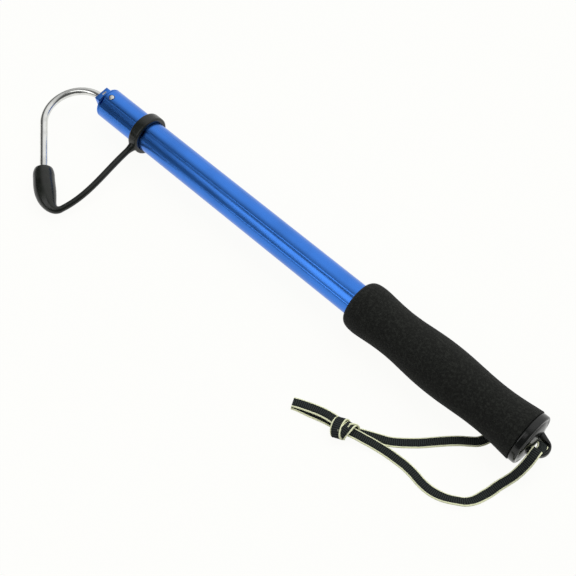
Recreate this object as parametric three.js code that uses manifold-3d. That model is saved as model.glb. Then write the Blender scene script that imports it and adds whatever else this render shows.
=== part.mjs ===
// Telescopic fishing gaff, pushed together and lying on its side.
// Millimetres, +Z up, +X towards the butt of the handle, the hook reaches out towards -Y.
// The origin is on the floor, under the middle of the gaff without its lanyard.
import * as THREE from 'three';
import { mergeVertices } from 'three/addons/utils/BufferGeometryUtils.js';
import Module from 'manifold-3d';

const wasm = await Module();
wasm.setup();

// Clearances
const runningGap = 0.25;
const seatGap = 0.25;
const pinGap = 0.2;
const cutOverrun = 2;

// Pole section: a round tube with three rounded flutes that keep the sections from turning
const poleRadius = 11;
const fluteCount = 3;
const fluteDepth = 1.3;
const fluteArcRadius = 7.7;
const outerWall = 1;
const sectionWall = 0.8;
const bushWall = 0.7;

// Lengths along the pole, measured from the mouth
const outerCollarStart = 1.2;
const outerCollarLip = 1.4;
const middleCollarLip = 0.8;
const collarSpigot = 20;
const outerTubeLength = 364.4;
const tailBushLength = 30;
const tailFlange = 2;
const tailRoom = 5;
const tailStep = 4.5;
const middleLipRadius = 9.2;
const outerLipRound = 0.5;
const middleLipRound = 0.6;

// Collar rivets: a small dome sunk in a hole of the tube, seated on the collar
const rivetPlace = 7.2;
const rivetTurns = [86, 326];
const hiddenRivetTurns = [60, 300];
const rivetHeadRadius = 1.9;
const rivetHeadStand = 0.5;
const rivetHeadDome = 0.6;
const rivetShankRadius = 0.9;
const hiddenRivetHeadRadius = 1.5;
const hiddenRivetHeadThickness = 0.75;

// Hook holder: a flat-sided nose on a fluted spigot
const noseLength = 3.95;
const noseWidth = 11.4;
const noseAside = -0.15;
const noseThickness = 15.5;
const noseCorner = 1;
const holderSpigot = 20;
const slotLength = 3.3;
const slotWidth = 1.2;
const slotDepth = 0.7;
const slotInset = 0.9;
const slotAside = 1;
const pinRadius = 1;
const pinPlace = 8;
const pinTurn = 60;

// Hook
const wireRadius = 2.7;
const bendLead = 1.75;
const bendRadius = 23.6;
const legTurn = 139.2;
const legLength = 62;
const pointLength = 12;
const pointTipRadius = 0.3;
const shankDepth = 16;

// Rubber point guard: a cap over the point, a strap and a ring round the pole
const guardCover = 23;
const guardBeyond = 10.6;
const guardAside = 12;
const guardCapRadius = 7.4;
const strapRadius = 2.25;
const guardRingWidth = 8;
const guardRingPlace = 37.3;
const guardRingWall = 3;
const guardRingRound = 1.2;
const guardLugLength = 4.6;
const guardLugRootRadius = 3.9;
const guardLugTipRadius = 2.6;

// Handle: foam grip and butt cap with its lanyard eye
const gripLength = 131.8;
const gripOverhang = 2;
const gripBellyRadius = 17.4;
const gripButtRadius = 17.6;
const capFlangeRadius = 17.1;
const capFlangeThickness = 5;
const capDome = 1.9;
const capSpigot = 20;
const capSpigotWall = 2;
const capFlangeRound = 1.6;
const eyeReach = 11.8;
const eyeRootWidth = 19;
const eyeEndRadius = 6.9;
const eyeThickness = 4.4;
const eyeHoleLength = 7.5;
const eyeHoleWidth = 9;
const eyeHoleRound = 1.6;
const eyeEndBar = 2.3;
const eyeRound = 1.2;

// Lanyard webbing
const webbingWidth = 6.8;
const webbingThickness = 1.2;
const webbingEdge = 0.45;
const knotLength = 13;
const knotWidth = 15.4;
const knotHeight = 9;
const knotWrapRadius = 1.7;
const knotTurn = 18;
const floorGap = 0.2;
const turnEndShare = 0.14;

// How the gaff lies: on the flare at the butt and on the guard cap
const axisHeight = gripButtRadius;
const legAngle = THREE.MathUtils.degToRad(180 - legTurn);
const guardMiddle = legLength - guardCover / 4;
const guardReach = bendRadius * (1 + Math.cos(legAngle)) + guardMiddle * Math.sin(legAngle);
const layTurn = Math.asin((axisHeight - guardCapRadius) / guardReach);

// Facet counts
const landSteps = 8;
const fluteSteps = 5;
const roundSteps = 36;
const wireSides = 12;
const bendSteps = 20;
const strapSides = 8;
const strapSteps = 14;
const guardSides = 16;
const guardRings = 16;
const smallSteps = 12;
const domeSteps = 4;
const cornerSteps = 3;
const edgeSteps = 3;
const webbingSteps = 76;
const tailSteps = 8;
const bandSides = 8;

const blueAnodised = new THREE.MeshStandardMaterial({ color: 0x2a66d2, roughness: 0.34, metalness: 0.75 });
const stainless = new THREE.MeshStandardMaterial({ color: 0xd4d6d4, roughness: 0.2, metalness: 1 });
const whiteNylon = new THREE.MeshStandardMaterial({ color: 0xe9e9e4, roughness: 0.55, metalness: 0 });
const blackRubber = new THREE.MeshStandardMaterial({ color: 0x1d1e1c, roughness: 0.45, metalness: 0 });
const blackFoam = new THREE.MeshStandardMaterial({ color: 0x20211f, roughness: 0.92, metalness: 0 });
const blackPlastic = new THREE.MeshStandardMaterial({ color: 0x151614, roughness: 0.22, metalness: 0 });
const blackWebbing = new THREE.MeshStandardMaterial({ color: 0x1b1c1b, roughness: 0.9, metalness: 0 });

// Turns a closed geometry into a solid
function solid(geometry) {
  const bare = geometry.clone();
  bare.deleteAttribute('normal');
  bare.deleteAttribute('uv');
  const merged = mergeVertices(bare);
  return new wasm.Manifold(new wasm.Mesh({
    numProp: 3,
    vertProperties: new Float32Array(merged.attributes.position.array),
    triVerts: new Uint32Array(merged.index.array),
  }));
}

// Turns a solid back into a geometry
function geometryOf(body) {
  const mesh = body.getMesh();
  const geometry = new THREE.BufferGeometry();
  geometry.setAttribute('position', new THREE.BufferAttribute(new Float32Array(mesh.vertProperties), 3));
  geometry.setIndex(new THREE.BufferAttribute(new Uint32Array(mesh.triVerts), 1));
  geometry.computeVertexNormals();
  return geometry;
}

// Section outline of the pole, moved inwards by a distance from the outer skin
function sectionPoints(inset) {
  const radius = poleRadius - inset;
  const arcRadius = fluteArcRadius + inset;
  const arcCentre = poleRadius - fluteDepth + fluteArcRadius;
  const pitch = 2 * Math.PI / fluteCount;
  const cosine = (radius ** 2 + arcCentre ** 2 - arcRadius ** 2) / (2 * radius * arcCentre);
  const halfFlute = Math.acos(cosine);
  const arcHalf = Math.asin(radius * Math.sin(halfFlute) / arcRadius);
  const points = [];
  for (let flute = 0; flute < fluteCount; flute += 1) {
    const middle = flute * pitch;
    const centre = new THREE.Vector2(Math.cos(middle), Math.sin(middle)).multiplyScalar(arcCentre);
    for (let step = 0; step < fluteSteps; step += 1) {
      const angle = middle + Math.PI + arcHalf * (1 - 2 * step / fluteSteps);
      points.push(new THREE.Vector2(Math.cos(angle), Math.sin(angle)).multiplyScalar(arcRadius).add(centre));
    }
    for (let step = 0; step < landSteps; step += 1) {
      const angle = middle + halfFlute + (pitch - 2 * halfFlute) * step / landSteps;
      points.push(new THREE.Vector2(Math.cos(angle), Math.sin(angle)).multiplyScalar(radius));
    }
  }
  return points;
}

// A rectangle about the origin with rounded corners
function roundedBox(wide, high, corner) {
  const shape = new THREE.Shape();
  [[1, -1], [1, 1], [-1, 1], [-1, -1]].forEach(([right, up], index) => {
    const from = Math.PI / 2 * (index - 1);
    const x = right * (wide / 2 - corner);
    const y = up * (high / 2 - corner);
    shape.absarc(x, y, corner, from, from + Math.PI / 2);
  });
  return new THREE.Shape(shape.getPoints(cornerSteps));
}

// Stands an outline drawn across the pole up along +X, from start to end
function alongPole(shape, start, end) {
  const geometry = new THREE.ExtrudeGeometry(shape, { depth: end - start, bevelEnabled: false });
  geometry.applyMatrix4(new THREE.Matrix4().makeBasis(
    new THREE.Vector3(0, 1, 0),
    new THREE.Vector3(0, 0, 1),
    new THREE.Vector3(1, 0, 0),
  ));
  geometry.translate(start, 0, 0);
  return geometry;
}

function flutedBar(inset, start, end) {
  return alongPole(new THREE.Shape(sectionPoints(inset)), start, end);
}

function flutedTube(outerInset, innerInset, start, end) {
  const shape = new THREE.Shape(sectionPoints(outerInset));
  shape.holes.push(new THREE.Path(sectionPoints(innerInset)));
  return alongPole(shape, start, end);
}

// Turns a profile of [place along the pole, radius] about the pole's axis
function turned(profile, steps = roundSteps) {
  const points = profile.map(([place, radius]) => new THREE.Vector2(radius, place));
  const geometry = new THREE.LatheGeometry(points, steps);
  geometry.applyMatrix4(new THREE.Matrix4().makeBasis(
    new THREE.Vector3(0, 1, 0),
    new THREE.Vector3(1, 0, 0),
    new THREE.Vector3(0, 0, -1),
  ));
  return geometry;
}

// Points of a quarter round on the edge of a turned profile: its front edge faces the mouth
function frontRound(place, radius, round) {
  return quarterRound().map(([along, out]) => [place + round * along, radius - round * out]);
}

function backRound(place, radius, round) {
  return quarterRound().map(([along, out]) => [place - round * along, radius - round * out]).reverse();
}

// Steps of a unit quarter round, as what is left to go along and out
function quarterRound() {
  const steps = [];
  for (let step = 0; step <= edgeSteps; step += 1) {
    const angle = Math.PI / 2 * step / edgeSteps;
    steps.push([1 - Math.cos(angle), 1 - Math.sin(angle)]);
  }
  return steps;
}

// A closed skin over rings of points, with flat ends
function skinned(rings) {
  const sides = rings[0].length;
  const positions = [];
  const indices = [];
  rings.forEach((ring) => ring.forEach((point) => positions.push(point.x, point.y, point.z)));
  for (let ring = 0; ring < rings.length - 1; ring += 1) {
    for (let side = 0; side < sides; side += 1) {
      const next = (side + 1) % sides;
      const low = ring * sides;
      const high = low + sides;
      indices.push(low + side, low + next, high + side);
      indices.push(low + next, high + next, high + side);
    }
  }
  const last = (rings.length - 1) * sides;
  for (let side = 1; side < sides - 1; side += 1) {
    indices.push(0, side + 1, side);
    indices.push(last, last + side, last + side + 1);
  }
  const geometry = new THREE.BufferGeometry();
  geometry.setAttribute('position', new THREE.Float32BufferAttribute(positions, 3));
  geometry.setIndex(indices);
  geometry.computeVertexNormals();
  return geometry;
}

// A ring of points about a centre in the hook's plane, starting at the side named by across
function barRing(centre, across, radius, sides) {
  const ring = [];
  for (let side = 0; side < sides; side += 1) {
    const angle = 2 * Math.PI * side / sides;
    ring.push(centre.clone()
      .addScaledVector(across, radius * Math.cos(angle))
      .add(new THREE.Vector3(0, 0, radius * Math.sin(angle))));
  }
  return ring;
}

// A round bar along a curve that lies in the hook's plane, with a radius for each share of the curve
function roundBar(curve, radiusAt, steps, sides) {
  const rings = [];
  for (let step = 0; step <= steps; step += 1) {
    const share = step / steps;
    const tangent = curve.getTangentAt(share);
    const across = new THREE.Vector3(-tangent.y, tangent.x, 0).normalize();
    rings.push(barRing(curve.getPointAt(share), across, radiusAt(share), sides));
  }
  return skinned(rings);
}

// A round peg that stands on the pole's axis, turned round the pole by an angle in degrees
function radialPeg(radius, low, high, place, turn) {
  const peg = new THREE.CylinderGeometry(radius, radius, high - low, smallSteps);
  peg.translate(0, (low + high) / 2, 0);
  peg.rotateX(THREE.MathUtils.degToRad(turn));
  peg.translate(place, 0, 0);
  return peg;
}

// Insets of the nested sections from the outer skin
const outerBore = outerWall;
const middleSkin = outerBore + 2 * runningGap + bushWall;
const middleBore = middleSkin + sectionWall;
const innerSkin = middleBore + 2 * runningGap + bushWall;
const innerBore = innerSkin + sectionWall;

// Places along the pole
const outerTubeStart = outerCollarStart + outerCollarLip + seatGap;
const outerTubeEnd = outerTubeStart + outerTubeLength;
const middleLipStart = outerCollarStart - seatGap - middleCollarLip;
const middleTubeStart = outerCollarStart;
const innerTubeStart = middleLipStart - seatGap;
const noseBack = innerTubeStart - seatGap;
const noseFront = noseBack - noseLength;
const gripEnd = outerTubeEnd + gripOverhang;
const gripPlace = gripEnd - gripLength;
const capStart = gripEnd + seatGap;
const spigotStart = capStart - capSpigot;
const middleTubeEnd = spigotStart - tailRoom - tailFlange - seatGap;
const innerTubeEnd = middleTubeEnd - tailStep;

const group = new THREE.Group();
const gaff = new THREE.Group();
const level = new THREE.Group();
gaff.rotation.x = layTurn;
gaff.position.z = axisHeight;
level.position.z = axisHeight;
const floorLevel = new THREE.Group();
group.add(gaff, level, floorLevel);

function place(parent, name, geometry, material) {
  const mesh = new THREE.Mesh(geometry, material);
  mesh.name = name;
  parent.add(mesh);
}

// A collar: a round lip with a rounded front edge, on a fluted spigot that goes in its tube
function collar(lipRadius, lipRound, lipStart, lipThickness, tubeBoreInset, slidingInset) {
  const lipEnd = lipStart + lipThickness;
  const spigotEnd = lipStart + collarSpigot;
  const lip = turned([
    [lipStart, 0],
    ...frontRound(lipStart, lipRadius, lipRound),
    [lipEnd, lipRadius],
    [lipEnd, 0],
  ]);
  const spigot = flutedBar(tubeBoreInset + runningGap, lipStart + lipThickness / 2, spigotEnd);
  const core = flutedBar(slidingInset - runningGap, lipStart - cutOverrun, spigotEnd + cutOverrun);
  return solid(lip).add(solid(spigot)).subtract(solid(core));
}

// Drills a round hole in a tube wall or a spigot for each rivet
function rivetHoles(body, radius, at, turns) {
  return turns.reduce(
    (left, turn) => left.subtract(solid(radialPeg(radius, 0, poleRadius + cutOverrun, at, turn))),
    body,
  );
}

// A rivet along a radius of the pole: a shank, and a head that is flat or domed on top
function rivet(head, shankEnd, at, turn) {
  const profile = [
    [shankEnd, 0],
    [shankEnd, rivetShankRadius],
    [head.seat, rivetShankRadius],
    [head.seat, head.radius],
    [head.top - head.dome, head.radius],
  ];
  for (let step = 1; step < domeSteps && head.dome > 0; step += 1) {
    const angle = Math.PI / 2 * step / domeSteps;
    profile.push([head.top - head.dome + head.dome * Math.sin(angle), head.radius * Math.cos(angle)]);
  }
  profile.push([head.top, 0]);
  const geometry = new THREE.LatheGeometry(
    profile.map(([height, radius]) => new THREE.Vector2(radius, height)),
    smallSteps,
  );
  geometry.rotateX(THREE.MathUtils.degToRad(turn));
  geometry.translate(at, 0, 0);
  return geometry;
}

// Outer tube with its mouth collar
const outerTube = rivetHoles(
  solid(flutedTube(0, outerBore, outerTubeStart, outerTubeEnd)),
  rivetHeadRadius + 2 * pinGap,
  rivetPlace,
  rivetTurns,
);
place(gaff, 'outer_tube', geometryOf(outerTube), blueAnodised);

const outerCollar = rivetHoles(
  collar(poleRadius, outerLipRound, outerCollarStart, outerCollarLip, outerBore, middleSkin),
  rivetShankRadius + pinGap,
  rivetPlace,
  rivetTurns,
);
place(gaff, 'outer_collar', geometryOf(outerCollar), blueAnodised);

const outerRivetSeat = poleRadius - outerBore - runningGap + seatGap;
const outerRivetEnd = poleRadius - middleSkin + runningGap;
const outerRivetTop = poleRadius + rivetHeadStand;
['outer_rivet_top', 'outer_rivet_under'].forEach((name, index) => {
  const head = { radius: rivetHeadRadius, seat: outerRivetSeat, top: outerRivetTop, dome: rivetHeadDome };
  place(gaff, name, rivet(head, outerRivetEnd, rivetPlace, rivetTurns[index]), stainless);
});

// Middle section: its tube, mouth collar, flush rivets and tail bush
const middleRivetPlace = middleLipStart + collarSpigot / 2;
const middleTube = rivetHoles(
  solid(flutedTube(middleSkin, middleBore, middleTubeStart, middleTubeEnd)),
  hiddenRivetHeadRadius + pinGap,
  middleRivetPlace,
  hiddenRivetTurns,
);
place(gaff, 'middle_tube', geometryOf(middleTube), blueAnodised);

const middleCollar = rivetHoles(
  collar(middleLipRadius, middleLipRound, middleLipStart, middleCollarLip, middleBore, innerSkin),
  rivetShankRadius + pinGap,
  middleRivetPlace,
  hiddenRivetTurns,
);
place(gaff, 'middle_collar', geometryOf(middleCollar), blueAnodised);

const middleRivetSeat = poleRadius - middleBore - runningGap + seatGap;
const middleRivetTop = Math.min(poleRadius - middleSkin, middleRivetSeat + hiddenRivetHeadThickness);
const middleRivetEnd = poleRadius - innerSkin + runningGap;
['middle_rivet_top', 'middle_rivet_under'].forEach((name, index) => {
  const head = { radius: hiddenRivetHeadRadius, seat: middleRivetSeat, top: middleRivetTop, dome: 0 };
  place(gaff, name, rivet(head, middleRivetEnd, middleRivetPlace, hiddenRivetTurns[index]), stainless);
});

// A tail bush: a sleeve on the tail of a tube, with a flange behind the tube
function tailBush(boreInset, skinInset, wallInset, tubeEnd) {
  const flangeStart = tubeEnd + seatGap;
  const sleeveStart = tubeEnd - tailBushLength;
  const bushEnd = flangeStart + tailFlange;
  const sleeve = flutedTube(boreInset + runningGap, skinInset - runningGap, sleeveStart, bushEnd);
  const flange = flutedTube(boreInset + runningGap, wallInset, flangeStart, bushEnd);
  return geometryOf(solid(sleeve).add(solid(flange)));
}
place(gaff, 'middle_tail_bush', tailBush(outerBore, middleSkin, middleBore, middleTubeEnd), whiteNylon);
place(gaff, 'inner_tail_bush', tailBush(middleBore, innerSkin, innerBore, innerTubeEnd), whiteNylon);

// Inner section: its tube, the hook holder, the cross pin and the hook
const pinHole = solid(radialPeg(pinRadius + pinGap, -poleRadius, poleRadius, pinPlace, pinTurn));
const innerTube = solid(flutedTube(innerSkin, innerBore, innerTubeStart, innerTubeEnd)).subtract(pinHole);
place(gaff, 'inner_tube', geometryOf(innerTube), blueAnodised);

const nose = alongPole(roundedBox(noseWidth, noseThickness, noseCorner), noseFront, noseBack);
nose.translate(0, noseAside, 0);
const holderStem = flutedBar(innerBore + runningGap, noseBack - noseLength / 2, noseBack + holderSpigot);
const shankHole = turned([
  [noseFront - cutOverrun, 0],
  [noseFront - cutOverrun, wireRadius + seatGap],
  [shankDepth + seatGap, wireRadius + seatGap],
  [shankDepth + seatGap, 0],
], smallSteps);
const slot = new THREE.BoxGeometry(slotWidth, slotLength, 2 * slotDepth);
slot.translate(noseBack - slotInset - slotWidth / 2, slotAside, noseThickness / 2);
const holderBody = solid(nose).add(solid(holderStem));
const holder = holderBody.subtract(solid(shankHole)).subtract(solid(slot)).subtract(pinHole);
place(gaff, 'hook_holder', geometryOf(holder), blueAnodised);

const pinTrim = flutedBar(innerSkin + runningGap / 2, pinPlace - 2 * pinRadius, pinPlace + 2 * pinRadius);
const pinBar = solid(radialPeg(pinRadius, -poleRadius, poleRadius, pinPlace, pinTurn));
place(gaff, 'hook_pin', geometryOf(pinBar.intersect(solid(pinTrim))), stainless);

// The hook's centre line: a straight shank on the pole's axis, a round bend and a straight leg
const bendCentre = new THREE.Vector3(noseFront - bendLead, -bendRadius, 0);
const legDirection = new THREE.Vector3(Math.cos(legAngle), -Math.sin(legAngle), 0);
const legSide = new THREE.Vector3(Math.sin(legAngle), Math.cos(legAngle), 0);
const legStart = bendCentre.clone().addScaledVector(legSide, -bendRadius);

function onLeg(along, aside) {
  return legStart.clone().addScaledVector(legDirection, along).addScaledVector(legSide, aside);
}

const shankEnd = new THREE.Vector3(shankDepth, 0, 0);
const hookRings = [barRing(shankEnd, new THREE.Vector3(0, -1, 0), wireRadius, wireSides)];
for (let step = 0; step <= bendSteps; step += 1) {
  const angle = THREE.MathUtils.degToRad(legTurn) * step / bendSteps;
  const inwards = new THREE.Vector3(Math.sin(angle), -Math.cos(angle), 0);
  const centre = bendCentre.clone().addScaledVector(inwards, -bendRadius);
  hookRings.push(barRing(centre, inwards, wireRadius, wireSides));
}
const pointWaist = (2 * wireRadius + pointTipRadius) / 3;
hookRings.push(barRing(onLeg(legLength - pointLength, 0), legSide, wireRadius, wireSides));
hookRings.push(barRing(onLeg(legLength - pointLength / 2, 0), legSide, pointWaist, wireSides));
hookRings.push(barRing(onLeg(legLength, 0), legSide, pointTipRadius, wireSides));
const hook = solid(skinned(hookRings)).subtract(pinHole);
place(gaff, 'hook', geometryOf(hook), stainless);

// Guard cap: a swollen sleeve over the point that curls round into the strap
const capMouth = onLeg(legLength - guardCover, 0);
const capEnd = onLeg(legLength + guardBeyond, guardAside);
const ringMiddle = guardRingPlace + guardRingWidth / 2;
const ringInner = poleRadius + runningGap;
const ringOuter = ringInner + guardRingWall;
const lugEnd = new THREE.Vector3(ringMiddle, -ringOuter - guardLugLength, 0);
const strapRun = lugEnd.clone().sub(capEnd);
const strapLeave = new THREE.Vector3(0.35, 0.94, 0).normalize();
const capCurve = new THREE.CubicBezierCurve3(
  capMouth,
  capMouth.clone().addScaledVector(legDirection, guardCover + guardBeyond / 4),
  capEnd.clone().addScaledVector(strapLeave, -guardBeyond * 2 / 3),
  capEnd,
);
const capRadiusShares = [
  0.86, 0.98, 1, 1, 1.01, 1.02, 1.02, 1.01, 0.98,
  0.93, 0.86, 0.77, 0.66, 0.54, 0.43, 0.35, 0.31,
];

function capRadiusAt(share) {
  const place = share * (capRadiusShares.length - 1);
  const low = Math.min(Math.floor(place), capRadiusShares.length - 2);
  return guardCapRadius * THREE.MathUtils.lerp(capRadiusShares[low], capRadiusShares[low + 1], place - low);
}

const capBody = solid(roundBar(capCurve, capRadiusAt, guardRings, guardSides));
const capBoreStart = onLeg(legLength - guardCover - cutOverrun, 0);
const capBoreLine = new THREE.LineCurve3(capBoreStart, onLeg(legLength + seatGap, 0));
const capBore = solid(roundBar(capBoreLine, () => wireRadius + seatGap, 1, wireSides));
place(gaff, 'guard_cap', geometryOf(capBody.subtract(capBore)), blackRubber);

// Guard strap: from the cap's end to the lug of the ring
const strapStart = capEnd.clone().addScaledVector(strapLeave, seatGap);
const strapEnd = lugEnd.clone().add(new THREE.Vector3(0, -seatGap, 0));
const strapCurve = new THREE.CubicBezierCurve3(
  strapStart,
  strapStart.clone().addScaledVector(strapLeave, strapRun.length() / 3),
  strapEnd.clone().add(new THREE.Vector3(0, -strapRun.length() / 3, 0)),
  strapEnd,
);
place(gaff, 'guard_strap', roundBar(strapCurve, () => strapRadius, strapSteps, strapSides), blackRubber);

// Guard ring: a wide soft band round the pole, with the lug that carries the strap
const ringStart = guardRingPlace;
const ringEnd = guardRingPlace + guardRingWidth;
const ringProfile = [
  [ringStart, ringInner],
  ...frontRound(ringStart, ringOuter, guardRingRound),
  ...backRound(ringEnd, ringOuter, guardRingRound),
  [ringEnd, ringInner],
  [ringStart, ringInner],
];
const lugHeight = guardLugLength + guardRingWall;
const lug = new THREE.CylinderGeometry(guardLugRootRadius, guardLugTipRadius, lugHeight, smallSteps);
lug.translate(ringMiddle, lugEnd.y + lugHeight / 2, 0);
const ringBore = turned([
  [ringStart - cutOverrun, 0],
  [ringStart - cutOverrun, ringInner],
  [ringEnd + cutOverrun, ringInner],
  [ringEnd + cutOverrun, 0],
]);
const guardRing = solid(turned(ringProfile)).add(solid(lug)).subtract(solid(ringBore));
place(gaff, 'guard_ring', geometryOf(guardRing), blackRubber);

// Foam grip: shares of its length, and of the belly's radius, along its outline
const gripOutlineShares = [
  [0, 0.71], [0.006, 0.84], [0.02, 0.93], [0.045, 0.98], [0.08, 0.99], [0.13, 0.96], [0.19, 0.92],
  [0.25, 0.902], [0.31, 0.914], [0.38, 0.955], [0.45, 0.99], [0.52, 1], [0.59, 0.985], [0.66, 0.95],
  [0.73, 0.915], [0.79, 0.9], [0.85, 0.908], [0.91, 0.94], [0.96, 0.98], [0.99, 1.0],
];
const gripBoreRadius = poleRadius + runningGap;
const gripOutline = gripOutlineShares.map(([along, out]) => [
  gripPlace + gripLength * along,
  gripBellyRadius * out,
]);
const gripProfile = [
  [gripPlace, gripBoreRadius],
  ...gripOutline,
  [gripEnd, gripButtRadius],
  [gripEnd, gripBoreRadius],
  [gripPlace, gripBoreRadius],
];
place(level, 'foam_grip', turned(gripProfile), blackFoam);

// Butt cap: a hollow spigot in the outer tube, a flange, a low dome and a flat eye
const flangeEnd = capStart + capFlangeThickness;
const domeEnd = flangeEnd + capDome;
const domeProfile = [];
for (let step = 0; step <= domeSteps; step += 1) {
  const angle = Math.PI / 2 * step / domeSteps;
  const domeRadius = capFlangeRadius - capFlangeRound;
  domeProfile.push([flangeEnd + capDome * Math.sin(angle), domeRadius * Math.cos(angle)]);
}
const capHead = turned([
  [capStart, 0],
  ...frontRound(capStart, capFlangeRadius, capFlangeRound),
  ...backRound(flangeEnd, capFlangeRadius, capFlangeRound),
  ...domeProfile.slice(1, -1),
  [domeEnd, 0],
]);
const spigotInset = outerBore + runningGap;
const stemEnd = capStart + capFlangeThickness / 2;
const capStem = flutedTube(spigotInset, spigotInset + capSpigotWall, spigotStart, stemEnd);

// Outline of the eye: wide at its root, with straight sides that run on into a round end
function eyeShape(length, rootWidth, endRadius) {
  const middle = length - endRadius;
  const rootReach = Math.hypot(middle, rootWidth / 2);
  const meet = Math.atan2(middle, rootWidth / 2) + Math.asin(endRadius / rootReach);
  const shape = new THREE.Shape();
  shape.moveTo(0, -rootWidth / 2);
  shape.lineTo(middle + endRadius * Math.cos(meet), -endRadius * Math.sin(meet));
  shape.absarc(middle, 0, endRadius, -meet, meet);
  shape.lineTo(0, rootWidth / 2);
  return new THREE.Shape(shape.getPoints(8));
}

const eyeEnd = flangeEnd + eyeReach;
const eyePlate = new THREE.ExtrudeGeometry(eyeShape(eyeReach, eyeRootWidth, eyeEndRadius), {
  depth: eyeThickness - 2 * eyeRound,
  bevelThickness: eyeRound,
  bevelSize: eyeRound,
  bevelOffset: -eyeRound,
  bevelSegments: 2,
});
eyePlate.translate(flangeEnd, 0, -eyeThickness / 2 + eyeRound);
const eyeHoleStart = eyeEnd - eyeEndBar - eyeHoleLength;
const eyeHole = new THREE.ExtrudeGeometry(roundedBox(eyeHoleLength, eyeHoleWidth, eyeHoleRound), {
  depth: eyeThickness + 2 * cutOverrun,
  bevelEnabled: false,
});
eyeHole.translate(eyeHoleStart + eyeHoleLength / 2, 0, -eyeThickness / 2 - cutOverrun);
capStem.applyMatrix4(new THREE.Matrix4().makeRotationX(layTurn));
const buttCap = solid(capHead).add(solid(capStem)).add(solid(eyePlate)).subtract(solid(eyeHole));
place(level, 'butt_cap', geometryOf(buttCap), blackPlastic);

// The origin moves to the floor under the middle of everything made so far, so not of the lanyard
group.updateMatrixWorld(true);
const middle = new THREE.Box3().setFromObject(group, true).getCenter(new THREE.Vector3());
[gaff, level, floorLevel].forEach((part) => part.position.sub(new THREE.Vector3(middle.x, middle.y, 0)));

// Lanyard: flat webbing through the eye, both strands to one knot, two cut tails.
// The routes are chosen by hand, with the floor at zero and x from the mouth of the collar.
const webbingOutline = [
  [webbingWidth / 2, -webbingThickness / 2 + webbingEdge],
  [webbingWidth / 2, webbingThickness / 2 - webbingEdge],
  [webbingWidth / 2 - webbingEdge, webbingThickness / 2],
  [-webbingWidth / 2 + webbingEdge, webbingThickness / 2],
  [-webbingWidth / 2, webbingThickness / 2 - webbingEdge],
  [-webbingWidth / 2, -webbingThickness / 2 + webbingEdge],
  [-webbingWidth / 2 + webbingEdge, -webbingThickness / 2],
  [webbingWidth / 2 - webbingEdge, -webbingThickness / 2],
];

// Tilt at a share of a route, from a list of [share, degrees]
function tiltAt(tilts, share) {
  const next = tilts.findIndex(([at]) => at > share);
  if (next < 1) return tilts[tilts.length - 1][1];
  const [lowShare, low] = tilts[next - 1];
  const [highShare, high] = tilts[next];
  return THREE.MathUtils.lerp(low, high, THREE.MathUtils.smoothstep(share, lowShare, highShare));
}

// Webbing along a route: flat against the eye's bar at its start, then turning to lie flat on the floor.
// A tilt raises the edge on the left of the way the route goes.
function webbing(points, steps, startAcross, turnShare, tilts) {
  const route = new THREE.CatmullRomCurve3(points.map(([x, y, z]) => new THREE.Vector3(x, y, z)));
  const rings = [];
  for (let step = 0; step <= steps; step += 1) {
    const share = step / steps;
    const centre = route.getPointAt(share);
    const tangent = route.getTangentAt(share);
    const flat = new THREE.Vector3(tangent.y, -tangent.x, 0).normalize();
    const turn = share < turnShare ? THREE.MathUtils.smoothstep(share, 0, turnShare) : 1;
    const across = new THREE.Vector3(startAcross, 0, 0).lerp(flat, turn);
    across.addScaledVector(tangent, -across.dot(tangent)).normalize();
    across.applyAxisAngle(tangent, THREE.MathUtils.degToRad(tiltAt(tilts, share)));
    const up = new THREE.Vector3().crossVectors(tangent, across);
    rings.push(webbingOutline.map(([x, y]) => {
      const point = centre.clone().addScaledVector(across, x);
      return point.addScaledVector(up, y);
    }));
  }
  return skinned(rings);
}

const nearRoute = [
  [380.35, -3.4, 17.75], [380.35, -3.42, 19.5], [380.4, -4.2, 20.8], [380.6, -6.4, 21.1],
  [380.8, -8.9, 20.2], [380.8, -11.9, 17.9], [380.4, -15.5, 14.6], [379.6, -18.9, 11],
  [378.4, -22, 7.4], [376.7, -25.6, 4.4], [375.1, -29.7, 2.2], [374.1, -34.3, 1.25],
  [372.7, -39.2, 1.1], [371.4, -43.8, 1.4], [370, -46.9, 1.75], [367.6, -50.1, 1.95],
  [364.4, -52.4, 1.9], [360.1, -55, 1.7], [355.1, -57, 1.2], [348.5, -58.4, 0.9],
  [341.8, -58.4, 0.9], [334.5, -57.3, 0.9], [327.5, -56.8, 0.9], [320.9, -57.3, 1.2],
  [316, -58, 1.9], [311, -58.9, 2.4], [304.3, -60.3, 2.8], [299.4, -61.8, 3.6],
  [294.5, -63.3, 4.6], [288.5, -65.2, 4.9],
];
const farRoute = [
  [380.35, -3.4, 17.45], [380.35, -3.1, 15.4], [380.3, -1.9, 12.4], [380.2, 0.7, 9.2],
  [379.9, 4.2, 6], [379, 8.2, 3.4], [376.6, 11.6, 1.7], [372.8, 13.6, 0.95],
  [368, 13.9, 0.85], [362.4, 13, 0.85], [357, 9.9, 0.85], [353.4, 5, 0.82],
  [351.7, -0.5, 0.8], [351.7, -5.7, 0.82], [351, -10.3, 0.85], [348.8, -14.6, 0.85],
  [345.2, -18, 0.85], [341, -21.5, 0.85], [336.9, -25.5, 0.85], [332.6, -30.2, 0.85],
  [328.4, -35, 0.85], [324.4, -39.5, 0.85], [320.1, -43.7, 0.85], [315.5, -47.8, 0.85],
  [310.5, -51.6, 0.85], [303.5, -55.2, 1], [296.5, -59, 1.6], [291.5, -62.2, 2.3],
  [287, -65.4, 2.9],
];
const upperTailRoute = [
  [282.5, -65.2, 5], [277.8, -65, 4.6], [270.5, -66, 3.8],
  [264, -67.9, 3.2], [255.4, -71.3, 2.8], [251.4, -73.3, 2.6],
];
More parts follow.
